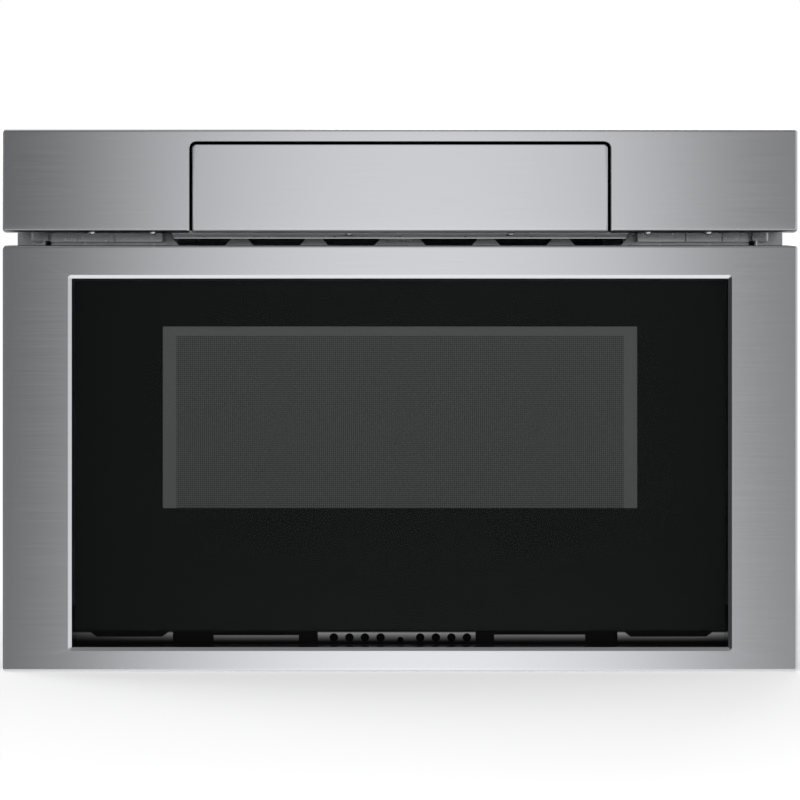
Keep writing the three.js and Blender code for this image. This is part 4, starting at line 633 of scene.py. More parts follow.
# %% [markdown]
# ## Moulded plastic
#
# Housings are ABS and the gears acetal. A mould is etched with a fine grain, which softens
# the gloss. It is drawn with 0.8 mm grains, a little coarser than the real 0.3 mm.


# %% Plastics
def moulded(name, hex_dark, hex_light, roughness):
    plastic, tree, shader = surface(name, hex_light, Roughness=roughness, IOR=1.53)
    grain = noise(tree, [1 / mm(0.8)] * 3, detail=3.0)
    tint(tree, shader, grain, hex_dark, hex_light)
    drive(tree, shader, "Roughness", grain, roughness - 0.07, roughness + 0.07)
    bump(tree, shader, grain, 0.03, 0.4)
    return plastic


black_plastic = moulded("black_plastic", "#18181a", "#232325", 0.5)
grey_plastic = moulded("grey_plastic", "#595c60", "#65686c", 0.5)
white_plastic = moulded("white_plastic", "#d2d2cc", "#deded8", 0.42)
print("Plastics:", [m.name for m in (black_plastic, grey_plastic, white_plastic)])

# %% [markdown]
# ## Glass
#
# The drawer's glass is a smoked pane. Its maker prints black enamel on the back, all but the
# window, so the pane looks black outside it, and inside it shows the perforated steel. The
# pane itself keeps a plain half-clear surface, so the print and the steel behind do the work.
# Its faint greenish cast comes from iron in the glass.

# %% Glasses
smoked_glass, tree, shader = surface("black_glass", "#060808", Roughness=0.05, Alpha=0.36)
shader.inputs["Specular IOR Level"].default_value = 0.1
wear = noise(tree, [1 / mm(35)] * 3)
drive(tree, shader, "Roughness", wear, 0.04, 0.08)

black_print, tree, shader = surface("black_print", "#0b0d0d", Roughness=0.6)
dots = noise(tree, [1 / mm(0.9)] * 3)
tint(tree, shader, dots, "#0a0c0c", "#0e1010")

clear_glass, tree, shader = surface("clear_glass", "#dfe9e4", Roughness=0.03, Alpha=0.32)
film = noise(tree, [1 / mm(30)] * 3)
drive(tree, shader, "Roughness", film, 0.02, 0.06)

touch_surface, tree, shader = surface("touch_glass", "#0a0b0c", Roughness=0.06)
smudge = noise(tree, [1 / mm(22)] * 3)
drive(tree, shader, "Roughness", smudge, 0.05, 0.12)
print("Glasses are ready")

# %% [markdown]
# ## Electrical materials
#
# Enamelled copper wire is wound in layers 0.8 mm apart, transformer iron is stacked from
# 0.5 mm sheets, and circuit board is green solder mask over faint copper tracks. Wave textures
# at those pitches, drawn coarser, say so.

# %% Copper, iron, board and aluminium
TURN_PITCH = mm(1.6)
LAMINATION = mm(1.2)


def lines(tree, pitch, axis):
    """Waves that repeat at a pitch along an axis."""
    wave = add(
        tree,
        "ShaderNodeTexWave",
        {"Vector": place_in(tree, [1 / pitch] * 3), "Scale": 0.5},
        wave_type="BANDS",
        bands_direction=axis,
    )
    return wave.outputs["Fac"]


copper, tree, shader = surface("copper_winding", "#a5562c", Metallic=0.75, Roughness=0.35)
turns = lines(tree, TURN_PITCH, "Z")
tint(tree, shader, turns, "#6e3418", "#b8663a")
bump(tree, shader, turns, 0.4, 0.8)

iron, tree, shader = surface("laminated_iron", "#4c4a48", Metallic=0.6, Roughness=0.5)
sheets = lines(tree, LAMINATION, "Y")
tint(tree, shader, sheets, "#34322f", "#5a5855")
bump(tree, shader, sheets, 0.15, 0.6)

board, tree, shader = surface("circuit_board", "#1f5a38", Roughness=0.4)
tracks = add(
    tree,
    "ShaderNodeTexBrick",
    {"Vector": place_in(tree, [1 / mm(9)] * 3), "Scale": 1.0, "Mortar Size": 0.05},
).outputs["Fac"]
tint(tree, shader, tracks, "#1d5233", "#3a7a4a")
bump(tree, shader, tracks, 0.035, 0.5)

aluminium, tree, shader = surface("aluminium_fins", "#c9cbcd", Metallic=1.0, Roughness=0.35)
rolled = noise(tree, (1 / mm(40), 1 / mm(1), 1 / mm(1)))
tint(tree, shader, rolled, "#bcbec0", "#d0d2d4")
drive(tree, shader, "Roughness", rolled, 0.28, 0.42)
print("Electrical materials are ready")

# %% [markdown]
# ## The drawer's steel frame
#
# The frame is folded from 1.5 mm sheet and welded at its corners. Its outer edges are rounded
# to 2.3 mm, and a bevel 2.6 mm wide runs down to the glass, with mitred corners. A loft suits
# it: the same rounded rectangle is repeated inward, ring by ring, along the section of the
# folded sheet, and the last ring closes on the first.

# %% Frame of the drawer front
EDGE = 2.3  # rounding of the outer edges, mm
SHEET = 1.5  # thickness of the stainless sheet, mm
BEVEL_WIDTH = 2.6
BEVEL_DEPTH = 2.2
ARC_STEPS = 6

frame_low, frame_high = (Vector(corner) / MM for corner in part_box("drawer_front_frame"))
glass_low, glass_high = (Vector(corner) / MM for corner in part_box("front_glass"))
SEAT = 0.3  # gap between pieces that touch, mm
GLASS_RECESS = 11.6  # the frame's opening goes on this far below the glass
OPENING_LOW = glass_low.z - GLASS_RECESS


def ring(low, high, radius, y, steps=ARC_STEPS):
    """A rounded rectangle in mm between two (x, z) corners, as points in metres at a depth."""
    points = []
    corners = [
        (high[0] - radius, low[1] + radius, -90),
        (high[0] - radius, high[1] - radius, 0),
        (low[0] + radius, high[1] - radius, 90),
        (low[0] + radius, low[1] + radius, 180),
    ]
    for x, z, start in corners:
        for step in range(steps + 1):
            turn = math.radians(start + 90 * step / steps)
            points.append(mm(x + radius * math.cos(turn), y, z + radius * math.sin(turn)))
    return points


def inset_ring(low, high, inset, radius, y):
    low = (low[0] + inset, low[1] + inset)
    high = (high[0] - inset, high[1] - inset)
    return ring(low, high, max(radius - inset, 0.25), y)


def rounding(radius, steps=ARC_STEPS):
    """(inset, distance behind the face) pairs round an edge, from the side to the face."""
    turns = [math.radians(90 * step / steps) for step in range(steps + 1)]
    return [(radius * (1 - math.cos(turn)), radius * (1 - math.sin(turn))) for turn in turns]


front, back = frame_low.y, frame_high.y
outer = ((frame_low.x, frame_low.z), (frame_high.x, frame_high.z))
inner = ((glass_low.x - SEAT, OPENING_LOW), (glass_high.x + SEAT, glass_high.z + SEAT))
section = [inset_ring(*outer, 0, EDGE + SEAT, back)]
section += [inset_ring(*outer, i, EDGE + SEAT, front + d) for i, d in rounding(EDGE)]
section += [
    inset_ring(*inner, -BEVEL_WIDTH - 0.15, 0, front),
    inset_ring(*inner, -BEVEL_WIDTH, 0, front + 0.07),
    inset_ring(*inner, -0.15, 0, front + BEVEL_DEPTH - 0.15),
    inset_ring(*inner, 0, 0, front + BEVEL_DEPTH + 0.2),
    inset_ring(*inner, 0, 0, back),
    inset_ring(*inner, -SHEET, 0, back),
    inset_ring(*inner, -SHEET, 0, front + BEVEL_DEPTH + SHEET),
    inset_ring(*inner, -BEVEL_WIDTH - SHEET, 0, front + SHEET),
    inset_ring(*outer, SHEET, EDGE, front + SHEET),
    inset_ring(*outer, SHEET, EDGE, back),
]
bm = bmesh.new()
loft(bm, section, closed=True)
piece("steel_frame", bm, stainless, "brushed_stainless", "drawer", "drawer_front_frame")
print("Frame section rings:", len(section))

# %% [markdown]
# ## The control panel and its flap
#
# The panel above is one folded cover with a notch, and the flap fills the notch. Both are
# drawn as an outline that runs once round the sheet. Each point of the outline carries the
# direction that faces outward there, and the edge that the sheet has there: how high its
# rounding is, how many times deeper than high, and how deep the sheet is folded back. The notch
# has a crisp edge, the outside a soft one, and the lower edges roll under to a sloped fold.

# %% Edges of folded sheet
PANEL_LOW_EDGE = (2.6, 2.3, 6.0)  # height, slope and fold of the panel's lower edge, mm
FLAP_LOW_EDGE = (2.6, 1.15, 3.0)
NOTCH_EDGE = (0.9, 1.0, SHEET)
GAP_STEP = 0.02  # keeps two points of one corner apart, mm


def corner(x, z, radius, start, sweep, edge, last_edge=None, steps=ARC_STEPS):
    """Outline points round a corner's centre. A negative sweep is a corner that goes inward."""
    sign = 1 if sweep > 0 else -1
    points = []
    for step in range(steps + 1):
        share = step / steps
        turn = math.radians(start + sweep * share)
        out = (math.cos(turn), math.sin(turn))
        blended = [a + (b - a) * share for a, b in zip(edge, last_edge or edge)]
        place = (x + radius * out[0], z + radius * out[1])
        points.append((*place, sign * out[0], sign * out[1], blended))
    return points


def folded(outline, face):
    """A bmesh of a folded cover: rings round its edge, its face, and its inside face."""

    def ring_at(inset, behind):
        points = []
        for x, z, out_x, out_z, (edge, slope, fold) in outline:
            distance = inset(edge)
            depth = face + behind(edge * slope, fold)
            points.append(mm(x - out_x * distance, depth, z - out_z * distance))
        return points

    bm = bmesh.new()
    rings = [ring_at(lambda edge: 0, lambda deep, fold: fold)]
    for share, back in rounding(1.0):
        rings.append(ring_at(lambda edge: edge * share, lambda deep, fold: min(deep * back, fold)))
    outside = loft(bm, rings)
    broad = [bm.faces.new(outside[-1])]
    inside = loft(
        bm,
        [
            ring_at(lambda edge: SHEET, lambda deep, fold: max(fold, SHEET + 0.01)),
            ring_at(lambda edge: SHEET, lambda deep, fold: SHEET),
        ],
    )
    broad.append(bm.faces.new(inside[-1]))
    bm.normal_update()
    bmesh.ops.triangulate(bm, faces=broad)
    count = len(outline)
    for index in range(count):
        after = (index + 1) % count
        bm.faces.new(
            (outside[0][index], outside[0][after], inside[0][after], inside[0][index])
        )
    return bm


def shade_underside(obj, turn=0.35):
    """Gives the faces that look down the rougher, unbrushed mill finish, in a darker grey that is
    painted shade under the folds.
    """
    obj.data.materials.append(shaded_mill_steel)
    for face in obj.data.polygons:
        face.material_index = int(face.normal.z < -turn)


# %% Control panel
panel_low, panel_high = (Vector(place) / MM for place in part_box("fascia"))
flap_low, flap_high = (Vector(place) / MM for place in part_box("console_flap"))
REVEAL = 1.9
NOTCH_CORNER = 5.0
SIDE_LIFT = 7.0  # the side folds begin this far above the lower edge, mm
notch_half = flap_high.x + REVEAL
notch_top = flap_high.z + REVEAL
side_edge = (EDGE, 1.0, panel_high.y - panel_low.y)
short_side_edge = (EDGE, 1.0, PANEL_LOW_EDGE[2])
r = EDGE + SEAT
n = NOTCH_CORNER
lip = 1.2
x0, x1, z0, z1 = panel_low.x, panel_high.x, panel_low.z, panel_high.z
outline = [
    *corner(x1 - r, z0 + r, r, -90, 90, PANEL_LOW_EDGE, short_side_edge),
    (x1, z0 + SIDE_LIFT, 1, 0, short_side_edge),
    (x1, z0 + SIDE_LIFT + GAP_STEP, 1, 0, side_edge),
    *corner(x1 - r, z1 - r, r, 0, 90, side_edge),
    *corner(x0 + r, z1 - r, r, 90, 90, side_edge),
    (x0, z0 + SIDE_LIFT + GAP_STEP, -1, 0, side_edge),
    (x0, z0 + SIDE_LIFT, -1, 0, short_side_edge),
    *corner(x0 + r, z0 + r, r, 180, 90, short_side_edge, PANEL_LOW_EDGE),
    *corner(-notch_half - lip, z0 + lip, lip, -90, 90, PANEL_LOW_EDGE, NOTCH_EDGE),
    *corner(-notch_half + n, notch_top - n, n, 180, -90, NOTCH_EDGE),
    *corner(notch_half - n, notch_top - n, n, 90, -90, NOTCH_EDGE),
    *corner(notch_half + lip, z0 + lip, lip, 180, 90, NOTCH_EDGE, PANEL_LOW_EDGE),
]
bm = folded(outline, panel_low.y)
panel_cover = piece(
    "control_panel", bm, stainless, "brushed_stainless", "chassis", "fascia"
)
shade_underside(panel_cover)
print("Panel outline points:", len(outline))

# %% Flap
FLAP_CORNER = 3.4
FLAP_SIDE_LIFT = 14.5  # the flap's side folds begin this far above its lower edge
return_edge = (NOTCH_EDGE[0], 1.0, flap_high.y - flap_low.y)
r = FLAP_CORNER
x0, x1, z0, z1 = flap_low.x, flap_high.x, flap_low.z, flap_high.z
outline = [
    *corner(x1 - lip, z0 + lip, lip, -90, 90, FLAP_LOW_EDGE, NOTCH_EDGE),
    (x1, z0 + FLAP_SIDE_LIFT, 1, 0, NOTCH_EDGE),
    (x1, z0 + FLAP_SIDE_LIFT + GAP_STEP, 1, 0, return_edge),
    *corner(x1 - r, z1 - r, r, 0, 90, return_edge),
    *corner(x0 + r, z1 - r, r, 90, 90, return_edge),
    (x0, z0 + FLAP_SIDE_LIFT + GAP_STEP, -1, 0, return_edge),
    (x0, z0 + FLAP_SIDE_LIFT, -1, 0, NOTCH_EDGE),
    *corner(x0 + lip, z0 + lip, lip, 180, 90, NOTCH_EDGE, FLAP_LOW_EDGE),
]
bm = folded(outline, flap_low.y)
flap = piece("flap", bm, stainless, "brushed_stainless", "console", "console_flap")
shade_underside(flap)
print("Flap outline points:", len(outline))

# %% [markdown]
# ## What shows in the gap
#
# Between the panel and the drawer one looks up at the underside of the tray, its hem, the
# screws that hold it, and the pressed plates at both sides, each with a folded end box and a
# stud. All are small, but they are what tells a real built-in oven from a box with a slot.

# %% Tray lip and hem
tray_low, tray_high = (Vector(place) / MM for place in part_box("control_tray"))
LIP_FRONT = -50.0
LIP_DEPTH = 12.0
LIP_DROP = 2.5
HEM = 1.3  # height of the hem, which is turned down and faces the front, mm
HEM_LOW = 318.8
COAT = 0.12  # how far a drawn surface lies off the CAD surface, mm


def prism(bm, profile, low, high, along="x"):
    """A closed outline, drawn across an axis, that is run from low to high along it."""
    places = {"x": lambda a, u, v: (a, u, v), "z": lambda a, u, v: (u, v, a)}
    rings = [[mm(*places[along](end, u, v)) for u, v in profile] for end in (low, high)]
    made = loft(bm, rings)
    ends = [bm.faces.new(reversed(made[0])), bm.faces.new(made[1])]
    bm.normal_update()
    bmesh.ops.triangulate(bm, faces=ends)


def arc(u, v, radius, start, sweep, steps=4):
    turns = [math.radians(start + sweep * step / steps) for step in range(steps + 1)]
    return [(u + radius * math.cos(turn), v + radius * math.sin(turn)) for turn in turns]


lip_back = LIP_FRONT + LIP_DEPTH
lip_top = panel_low.z
lip_low = lip_top - LIP_DROP
profile = [
    (LIP_FRONT - COAT, lip_top + 0.2),
    (LIP_FRONT - COAT, lip_top - COAT),
    (lip_back, lip_low - COAT),
    (lip_back, lip_low + 0.6),
]
bm = bmesh.new()
prism(bm, profile, tray_low.x - COAT, tray_high.x + COAT)
piece("tray_lip", bm, pale_steel, "zinc_sheet", "chassis")

hem_front = lip_back - 0.9
profile = [
    *arc(hem_front + 0.25, HEM_LOW + 0.25, 0.25, 270, -90),
    *arc(hem_front + 0.25, HEM_LOW + HEM - 0.25, 0.25, 180, -90),
    (lip_back + COAT, HEM_LOW + HEM),
    (lip_back + COAT, HEM_LOW),
]
bm = bmesh.new()
prism(bm, profile, tray_low.x - COAT, tray_high.x + COAT)
piece("tray_hem", bm, polished_hem, "zinc_sheet", "chassis")
print("Lip from y", LIP_FRONT, "to", lip_back)

# %% [markdown]
# A pan-head screw is a low dome with a cross-shaped recess. The cross has twelve corners, so
# every ring of the dome has twelve points too, at the same angles, and one loft makes it all.


# %% Screws
def screws(name, body, places, facing, radius=2.6, height=1.4):
    """Pan-head screws in one mesh, at places in mm, whose heads look along a direction."""
    facing = Vector(facing)
    across = facing.orthogonal().normalized()
    up = facing.cross(across)
    arm, half = 0.52, 0.13
    star = []
    for quarter in range(4):
        turned = Matrix.Rotation(math.radians(90 * quarter), 2)
        star += [turned @ Vector(point) for point in ((arm, -half), (arm, half), (half, half))]
    dome = ((1.0, 0.0), (1.0, 0.4), (0.94, 0.68), (0.8, 0.88), (0.62, 1.0))
    bm = bmesh.new()
    for place in places:
        rings = [(share, rise, [point.normalized() for point in star]) for share, rise in dome]
        rings += [(1.0, 1.0, star), (0.9, 0.3, star)]
        made = loft(
            bm,
            [
                [
                    (Vector(place) + facing * height * rise
                     + (across * point.x + up * point.y) * radius * share) * MM
                    for point in points
                ]
                for share, rise, points in rings
            ],
        )
        bm.faces.new(made[-1])
        bm.faces.new(reversed(made[0]))
    return piece(name, bm, bright_zinc, "zinc_sheet", body)


LIP_SCREWS = (-39.6, 84.6)
FOLD_SCREWS = (189.0, 235.2)
screws(
    "lip_screws",
    "chassis",
    [(x, LIP_FRONT + 1.8, lip_top - 0.2) for x in LIP_SCREWS],
    (0, 0, -1),
    radius=3.2,
    height=1.5,
)
screws(
    "fold_screws",
    "chassis",
    [(side * x, panel_low.y + 3.6, lip_top + 0.3) for x in FOLD_SCREWS for side in (-1, 1)],
    (0, 0, -1),
    radius=2.7,
    height=1.7,
)

# %% [markdown]
# The small parts of the gap are turned or lofted: seven dark rivets behind the hem, a raised tab
# in the middle of the flange, and a stud under each end box, before a slot whose shade is painted
# as a thin black plate.

# %% Rivets, centre tab and studs
RIVET = [(0.9, 0.5), (0.9, -0.25), (0.5, -0.35)]  # its section: radius and height, mm
RIVET_PITCH = 50.55
RIVETS = 7
RIVET_INSET = 3.6
RIVET_LIFT = 0.75
STUD = [(1.3, 1.0), (1.3, -5.0), (1.0, -5.4)]
STUD_X = 279.8
STUD_OUT = 12.0  # how far the stud stands before the flange, mm
TAB_HALF = 11.2
TAB_HEIGHT = 8.0
bm = bmesh.new()
for index in range(RIVETS):
    x = (index - (RIVETS - 1) / 2) * RIVET_PITCH
    lathe(bm, RIVET, mm(x, lip_back - RIVET_INSET, lip_low + RIVET_LIFT), "z", 12)
piece("hem_rivets", bm, black_plastic, "black_plastic", "chassis")

flange_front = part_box("front_flange")[0][1] / MM
bm = bmesh.new()
tab = ((-TAB_HALF, lip_top - 2.0), (TAB_HALF, lip_top + TAB_HEIGHT))
rings = loft(
    bm,
    [
        ring(*tab, 2.0, flange_front - 0.05),
        ring(*tab, 2.0, flange_front - 0.7),
        inset_ring(*tab, 0.3, 2.0, flange_front - 1.0),
    ],
)
bm.faces.new(rings[-1])
bm.faces.new(rings[0])
piece("centre_tab", bm, bright_zinc, "zinc_sheet", "chassis")

bracket_low, bracket_high = (Vector(place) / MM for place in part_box("flange_bracket_right"))
bm = bmesh.new()
for side in (-1, 1):
    lathe(bm, STUD, mm(side * STUD_X, flange_front - STUD_OUT, bracket_low.z), "z", 16)
piece("studs", bm, bright_zinc, "zinc_sheet", "chassis")

# Painted shade: a thin black plate on the flange stands for the dark slot behind each stud.
SLOT_HALF = 3.2
SLOT_REACH = (-9, 3)  # from the bracket's lower edge down and up, mm
bm = bmesh.new()
for side in (-1, 1):
    slot = (
        (side * STUD_X - SLOT_HALF, bracket_low.z + SLOT_REACH[0]),
        (side * STUD_X + SLOT_HALF, bracket_low.z + SLOT_REACH[1]),
    )
    rings = loft(
        bm, [ring(*slot, 1.5, flange_front - 0.04), ring(*slot, 1.5, flange_front - 0.3)]
    )
    bm.faces.new(rings[0])
    bm.faces.new(rings[-1])
piece("stud_slot_shade", bm, black_steel, "black_steel", "chassis")
print("Gap details are in")

# %% [markdown]
# Each side plate is one section run upward: a flat sheet with two V-shaped creases that stiffen
# it. The end box is a second section, with rounded upright edges.

# %% Pressed side plates
BOX_WIDTH = 13.8
BOX_PROUD = 8.0
BOX_ROUND = 1.8
CREASES = (0.43, 0.76)  # shares of the plate's width
CREASE_HALF = 0.9
for name, side in (("left", -1), ("right", 1)):
    back = bracket_high.y
    face = bracket_low.y + BOX_PROUD
    box_front = bracket_low.y
    inner = bracket_low.x
    outer = bracket_high.x
    box_inner = outer - BOX_WIDTH
    profile = [(inner, back), *arc(inner + 1, face + 1, 1, 180, 90)]
    for share in CREASES:
        x = inner + share * (box_inner - inner)
        profile += [(x - CREASE_HALF, face), (x, face + 0.8), (x + CREASE_HALF, face)]
    profile += [(box_inner + 0.5, face), (box_inner + 0.5, back)]
    box = [
        (box_inner, back),
        *arc(box_inner + BOX_ROUND, box_front + BOX_ROUND, BOX_ROUND, 180, 90),
        *arc(outer - BOX_ROUND, box_front + BOX_ROUND, BOX_ROUND, 270, 90),
        (outer, back),
    ]
    replaced = f"flange_bracket_{name}"
    for label, shape, metal in (
        ("side_plate", profile, plate_zinc),
        ("end_box", box, rolled_zinc),
    ):
        bm = bmesh.new()
        prism(bm, [(side * x, y) for x, y in shape], bracket_low.z, bracket_high.z, "z")
        piece(f"{label}_{name}", bm, metal, "zinc_sheet", "chassis", replaced)
print("Side plates are in")

# %% [markdown]
# ## Glass, its black print and the perforated window
#
# The pane is ground flat with a fine arris, a narrow polished chamfer, along its edges. The
# black print is a thin layer right behind it with the window left out. Behind the window is a
# steel sheet with square holes, small enough to hold microwaves in and let light out. The
# holes are about 1.2 mm with 0.4 mm bars, so they are drawn in the material, not cut.

# %% Glass and print
ARRIS = 0.5
pane = ((glass_low.x, glass_low.z), (glass_high.x, glass_high.z))
bm = bmesh.new()
rings = loft(
    bm,
    [
        inset_ring(*pane, ARRIS, 1, glass_high.y),
        inset_ring(*pane, 0, 1, glass_high.y - ARRIS),
        inset_ring(*pane, 0, 1, glass_low.y + ARRIS),
        inset_ring(*pane, ARRIS, 1, glass_low.y),
    ],
)
bm.faces.new(rings[0])
bm.faces.new(rings[-1])
piece("front_pane", bm, smoked_glass, "black_glass", "drawer", "front_glass")

screen_low, screen_high = (Vector(place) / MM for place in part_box("window_screen"))
BORDER = 10.0  # the screen reaches past the window by this
PRINT_GAP = 0.05
PRINT_THICKNESS = 0.1
WINDOW_CORNER = 0.6
window = (
    (screen_low.x + BORDER, screen_low.z + BORDER),
    (screen_high.x - BORDER, screen_high.z - BORDER),
)
print_front = glass_high.y + PRINT_GAP
print_back = print_front + PRINT_THICKNESS
bm = bmesh.new()
loft(
    bm,
    [
        inset_ring(*pane, 1, 1, print_back),
        inset_ring(*pane, 1, 1, print_front),
        ring(*window, WINDOW_CORNER, print_front),
        ring(*window, WINDOW_CORNER, print_back),
    ],
    closed=True,
)
piece("glass_print", bm, black_print, "black_glass", "drawer")
print("Window in mm:", [round(value, 1) for value in (*window[0], *window[1])])

# %% Perforated screen
HOLE_PITCH = 1.52  # mm
HOLE_SHARE = 0.72  # of the pitch, the side of a hole
SIDE_BORDER = 10.4  # plain steel round the holes, inside the window, mm
TOP_BORDER = 7.1
perforated, tree, shader = surface("perforated_steel", "#a9adab", Roughness=0.5)
point = add(tree, "ShaderNodeTexCoord").outputs["Object"]
cells = add(
    tree, "ShaderNodeVectorMath", {0: point, 1: [1 / mm(HOLE_PITCH)] * 3}, operation="MULTIPLY"
).outputs[0]
within = add(tree, "ShaderNodeVectorMath", {0: cells}, operation="FRACTION").outputs[0]
across = add(tree, "ShaderNodeSeparateXYZ", {0: within}).outputs
bars = []
for axis in ("X", "Z"):
    centred = add(
        tree, "ShaderNodeMath", {0: across[axis], 1: 0.5}, operation="SUBTRACT"
    ).outputs[0]
    away = add(tree, "ShaderNodeMath", {0: centred}, operation="ABSOLUTE").outputs[0]
    bars.append(
        add(
            tree,
            "ShaderNodeMapRange",
            {
                "Value": away,
                "From Min": HOLE_SHARE / 2 + 0.04,
                "From Max": HOLE_SHARE / 2 - 0.04,
            },
        ).outputs[0]
    )
hole = add(tree, "ShaderNodeMath", {0: bars[0], 1: bars[1]}, operation="MULTIPLY").outputs[0]
place = add(tree, "ShaderNodeSeparateXYZ", {0: point}).outputs
side = add(tree, "ShaderNodeMath", {0: place["X"]}, operation="ABSOLUTE").outputs[0]
inside_x = add(
    tree,
    "ShaderNodeMath",
    {0: side, 1: mm(window[1][0] - SIDE_BORDER)},
    operation="LESS_THAN",
).outputs[0]
inside_z = add(
    tree,
    "ShaderNodeMath",
    {0: place["Z"], 1: mm(window[1][1] - TOP_BORDER)},
    operation="LESS_THAN",
).outputs[0]
field = add(tree, "ShaderNodeMath", {0: inside_x, 1: inside_z}, operation="MULTIPLY").outputs[0]
pierced = add(tree, "ShaderNodeMath", {0: hole, 1: field}, operation="MULTIPLY").outputs[0]
tint(tree, shader, pierced, "#a0a4a2", "#5c605e")
bump(tree, shader, pierced, -0.2, 0.4)
nodes["window_screen"].data.materials.clear()
nodes["window_screen"].data.materials.append(perforated)
smooth(nodes["window_screen"])
print("Holes across the window:", int((window[1][0] - window[0][0]) / HOLE_PITCH))

# %% [markdown]
# ## Dark backing and the case's screws
#
# The holes of the recess plate look black: a thin dark sheet behind them closes them and paints
# the shade in them. The
# case is held by rows of screws: round the rear cover, and low along both sides.

# %% Backing and screws
plate_low, plate_high = (Vector(place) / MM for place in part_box("lower_vent_plate"))
# Painted shade: a thin black sheet behind the holes of the recess plate.
shade_sheet = ((-70.0, plate_low.z + 0.5), (70.0, plate_high.z - 2.5))
bm = bmesh.new()
rings = loft(
    bm, [ring(*shade_sheet, 2, plate_high.y + 0.05), ring(*shade_sheet, 2, plate_high.y + 0.3)]
)
bm.faces.new(rings[0])
bm.faces.new(rings[-1])
piece("painted_shade_sheet", bm, black_steel, "black_steel", "drawer")

rear_low, rear_high = (Vector(place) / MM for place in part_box("rear_cover"))
SCREW_INSET = 8.0
inner_width = rear_high.x - rear_low.x - 2 * SCREW_INSET
columns = [rear_low.x + SCREW_INSET + share * inner_width for share in (0, 0.25, 0.5, 0.75, 1)]
rows = (rear_low.z + SCREW_INSET, rear_high.z - SCREW_INSET)
places = [(x, rear_high.y, z) for x in columns for z in rows]
places += [(x, rear_high.y, (rows[0] + rows[1]) / 2) for x in (columns[0], columns[-1])]
screws("rear_screws", "chassis", places, (0, 1, 0), radius=3.4, height=1.6)

wrap_low, wrap_high = (Vector(place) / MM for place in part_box("outer_wrap"))
SIDE_SCREWS = (60, 225, 390, 555)
for name, x, facing in (("left", wrap_low.x, -1), ("right", wrap_high.x, 1)):
    places = [(x, y, wrap_low.z + SCREW_INSET) for y in SIDE_SCREWS]
    screws(f"side_screws_{name}", "chassis", places, (facing, 0, 0), radius=3.4, height=1.6)
print("Rear cover:", [round(v, 1) for v in (*rear_low, *rear_high)])

# %% [markdown]
# ## Finishes on the CAD pieces
#
# Where the CAD shape is already the real one, the piece stays and only gets its material. Its
# mesh isn't touched: a modifier shades its curved faces smooth and keeps its folds sharp.

# %% Materials of the kept pieces
FINISHES = {
    "zinc_sheet": (
        zinc,
        "base_pan outer_wrap rear_cover control_tray rail_outer_left rail_outer_right "
        "rail_mid_left rail_mid_right rail_inner_left rail_inner_right "
        "drawer_arm_left drawer_arm_right waveguide stirrer "
        "magnetron_yoke capacitor blower_motor exhaust_duct choke_panel drive_bracket "
        "drive_motor console_pin_left console_pin_right",
    ),
    "rolled_zinc": (rolled_zinc, "front_flange"),
    "grey_enamel": (enamel, "cavity_shell drawer_bin"),
    "black_steel": (pressed_paint, "lower_vent_plate"),
    "clear_glass": (clear_glass, "inner_glass glass_tray"),
    "black_glass": (touch_surface, "touch_glass"),
    "black_plastic": (black_plastic, "cord_gland choke_cover blower_housing console_housing"),
    "grey_plastic": (
        grey_plastic,
        "interlock_switch_left interlock_switch_right console_motor stirrer_motor blower_wheel",
    ),
    "white_plastic": (
        white_plastic,
        "stirrer_cover oven_lamp drawer_rack drive_pinion latch_hook_left latch_hook_right "
        "console_sector console_pinion",
    ),
    "circuit_board": (board, "power_board console_board"),
    "copper_winding": (copper, "transformer_coil"),
    "laminated_iron": (iron, "transformer_core"),
    "aluminium_fins": (aluminium, "magnetron_anode"),
}
for material, names in FINISHES.values():
    for name in names.split():
        node = nodes[name]
        node.data.materials.clear()
        node.data.materials.append(material)
        smooth(node)
print("Finished:", sum(len(names.split()) for _, names in FINISHES.values()), "pieces")

# %% [markdown]
# ## The floor
#
# The part stands on a plain white floor. For the camera a little of its own light is added,
# so that the floor is as white as the backdrop and still keeps the soft shadow. Reflections
# look through it to the studio, which is bright there too.

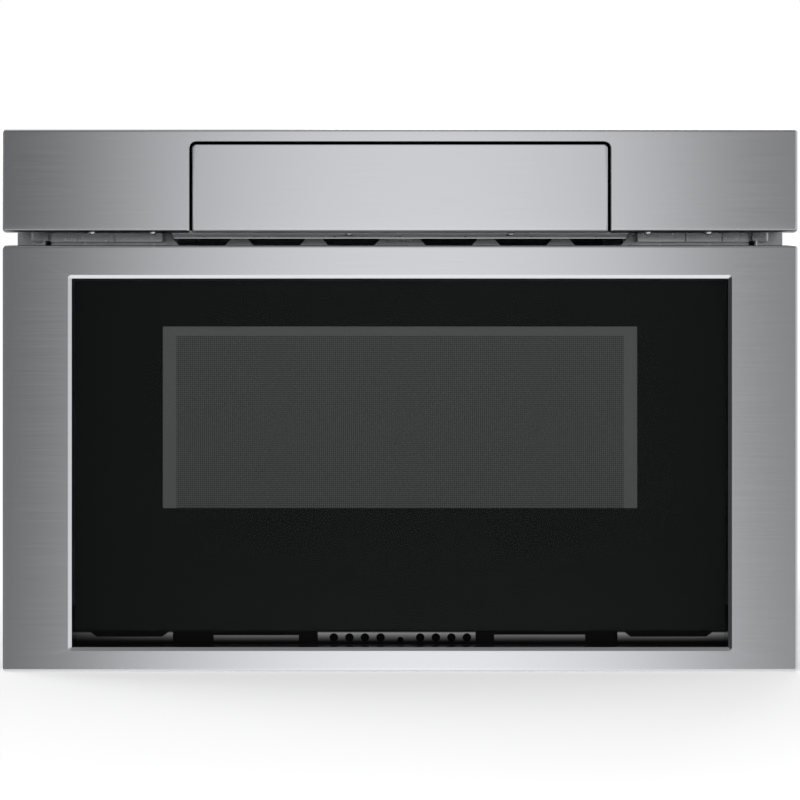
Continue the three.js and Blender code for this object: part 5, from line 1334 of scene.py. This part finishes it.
# %% Floor
FLOOR_SIZE = 6.0
FLOOR_LIGHT = 0.16
WHITE_FROM = (0.75, 1.5)  # metres from the middle, over which the floor turns into backdrop
floor_paint = bpy.data.materials.new("floor")
floor_paint.use_nodes = True
tree = floor_paint.node_tree
tree.nodes.clear()
rays = add(tree, "ShaderNodeLightPath").outputs
chalk = add(tree, "ShaderNodeBsdfDiffuse", {"Color": (0.93, 0.93, 0.93, 1)}).outputs[0]
glow = add(
    tree, "ShaderNodeEmission", {"Color": (1, 1, 1, 1), "Strength": FLOOR_LIGHT}
).outputs[0]
lit = add(tree, "ShaderNodeAddShader", {0: chalk, 1: glow}).outputs[0]
spot = add(tree, "ShaderNodeTexCoord").outputs["Object"]
reach = add(tree, "ShaderNodeVectorMath", {0: spot}, operation="LENGTH").outputs["Value"]
far = add(
    tree,
    "ShaderNodeMapRange",
    {"Value": reach, "From Min": WHITE_FROM[0], "From Max": WHITE_FROM[1]},
    interpolation_type="SMOOTHSTEP",
).outputs[0]
backdrop = add(tree, "ShaderNodeEmission", {"Color": (1, 1, 1, 1), "Strength": 1.0}).outputs[0]
faded = add(tree, "ShaderNodeMixShader", {0: far, 1: lit, 2: backdrop}).outputs[0]
plain = add(
    tree, "ShaderNodeMixShader", {0: rays["Is Camera Ray"], 1: chalk, 2: faded}
).outputs[0]
clear = add(tree, "ShaderNodeBsdfTransparent").outputs[0]
floor_shader = add(
    tree, "ShaderNodeMixShader", {0: rays["Is Glossy Ray"], 1: plain, 2: clear}
).outputs[0]
add(tree, "ShaderNodeOutputMaterial", {"Surface": floor_shader})

bm = bmesh.new()
bmesh.ops.create_grid(bm, x_segments=2, y_segments=2, size=FLOOR_SIZE / 2)
mesh = bpy.data.meshes.new("floor")
bm.to_mesh(mesh)
bm.free()
mesh.materials.append(floor_paint)
floor = bpy.data.objects.new("floor", mesh)
floor.location.z = cad_box[0][2] - mm(0.2)
bpy.context.scene.collection.objects.link(floor)
print("Floor at z:", round(floor.location.z, 4))
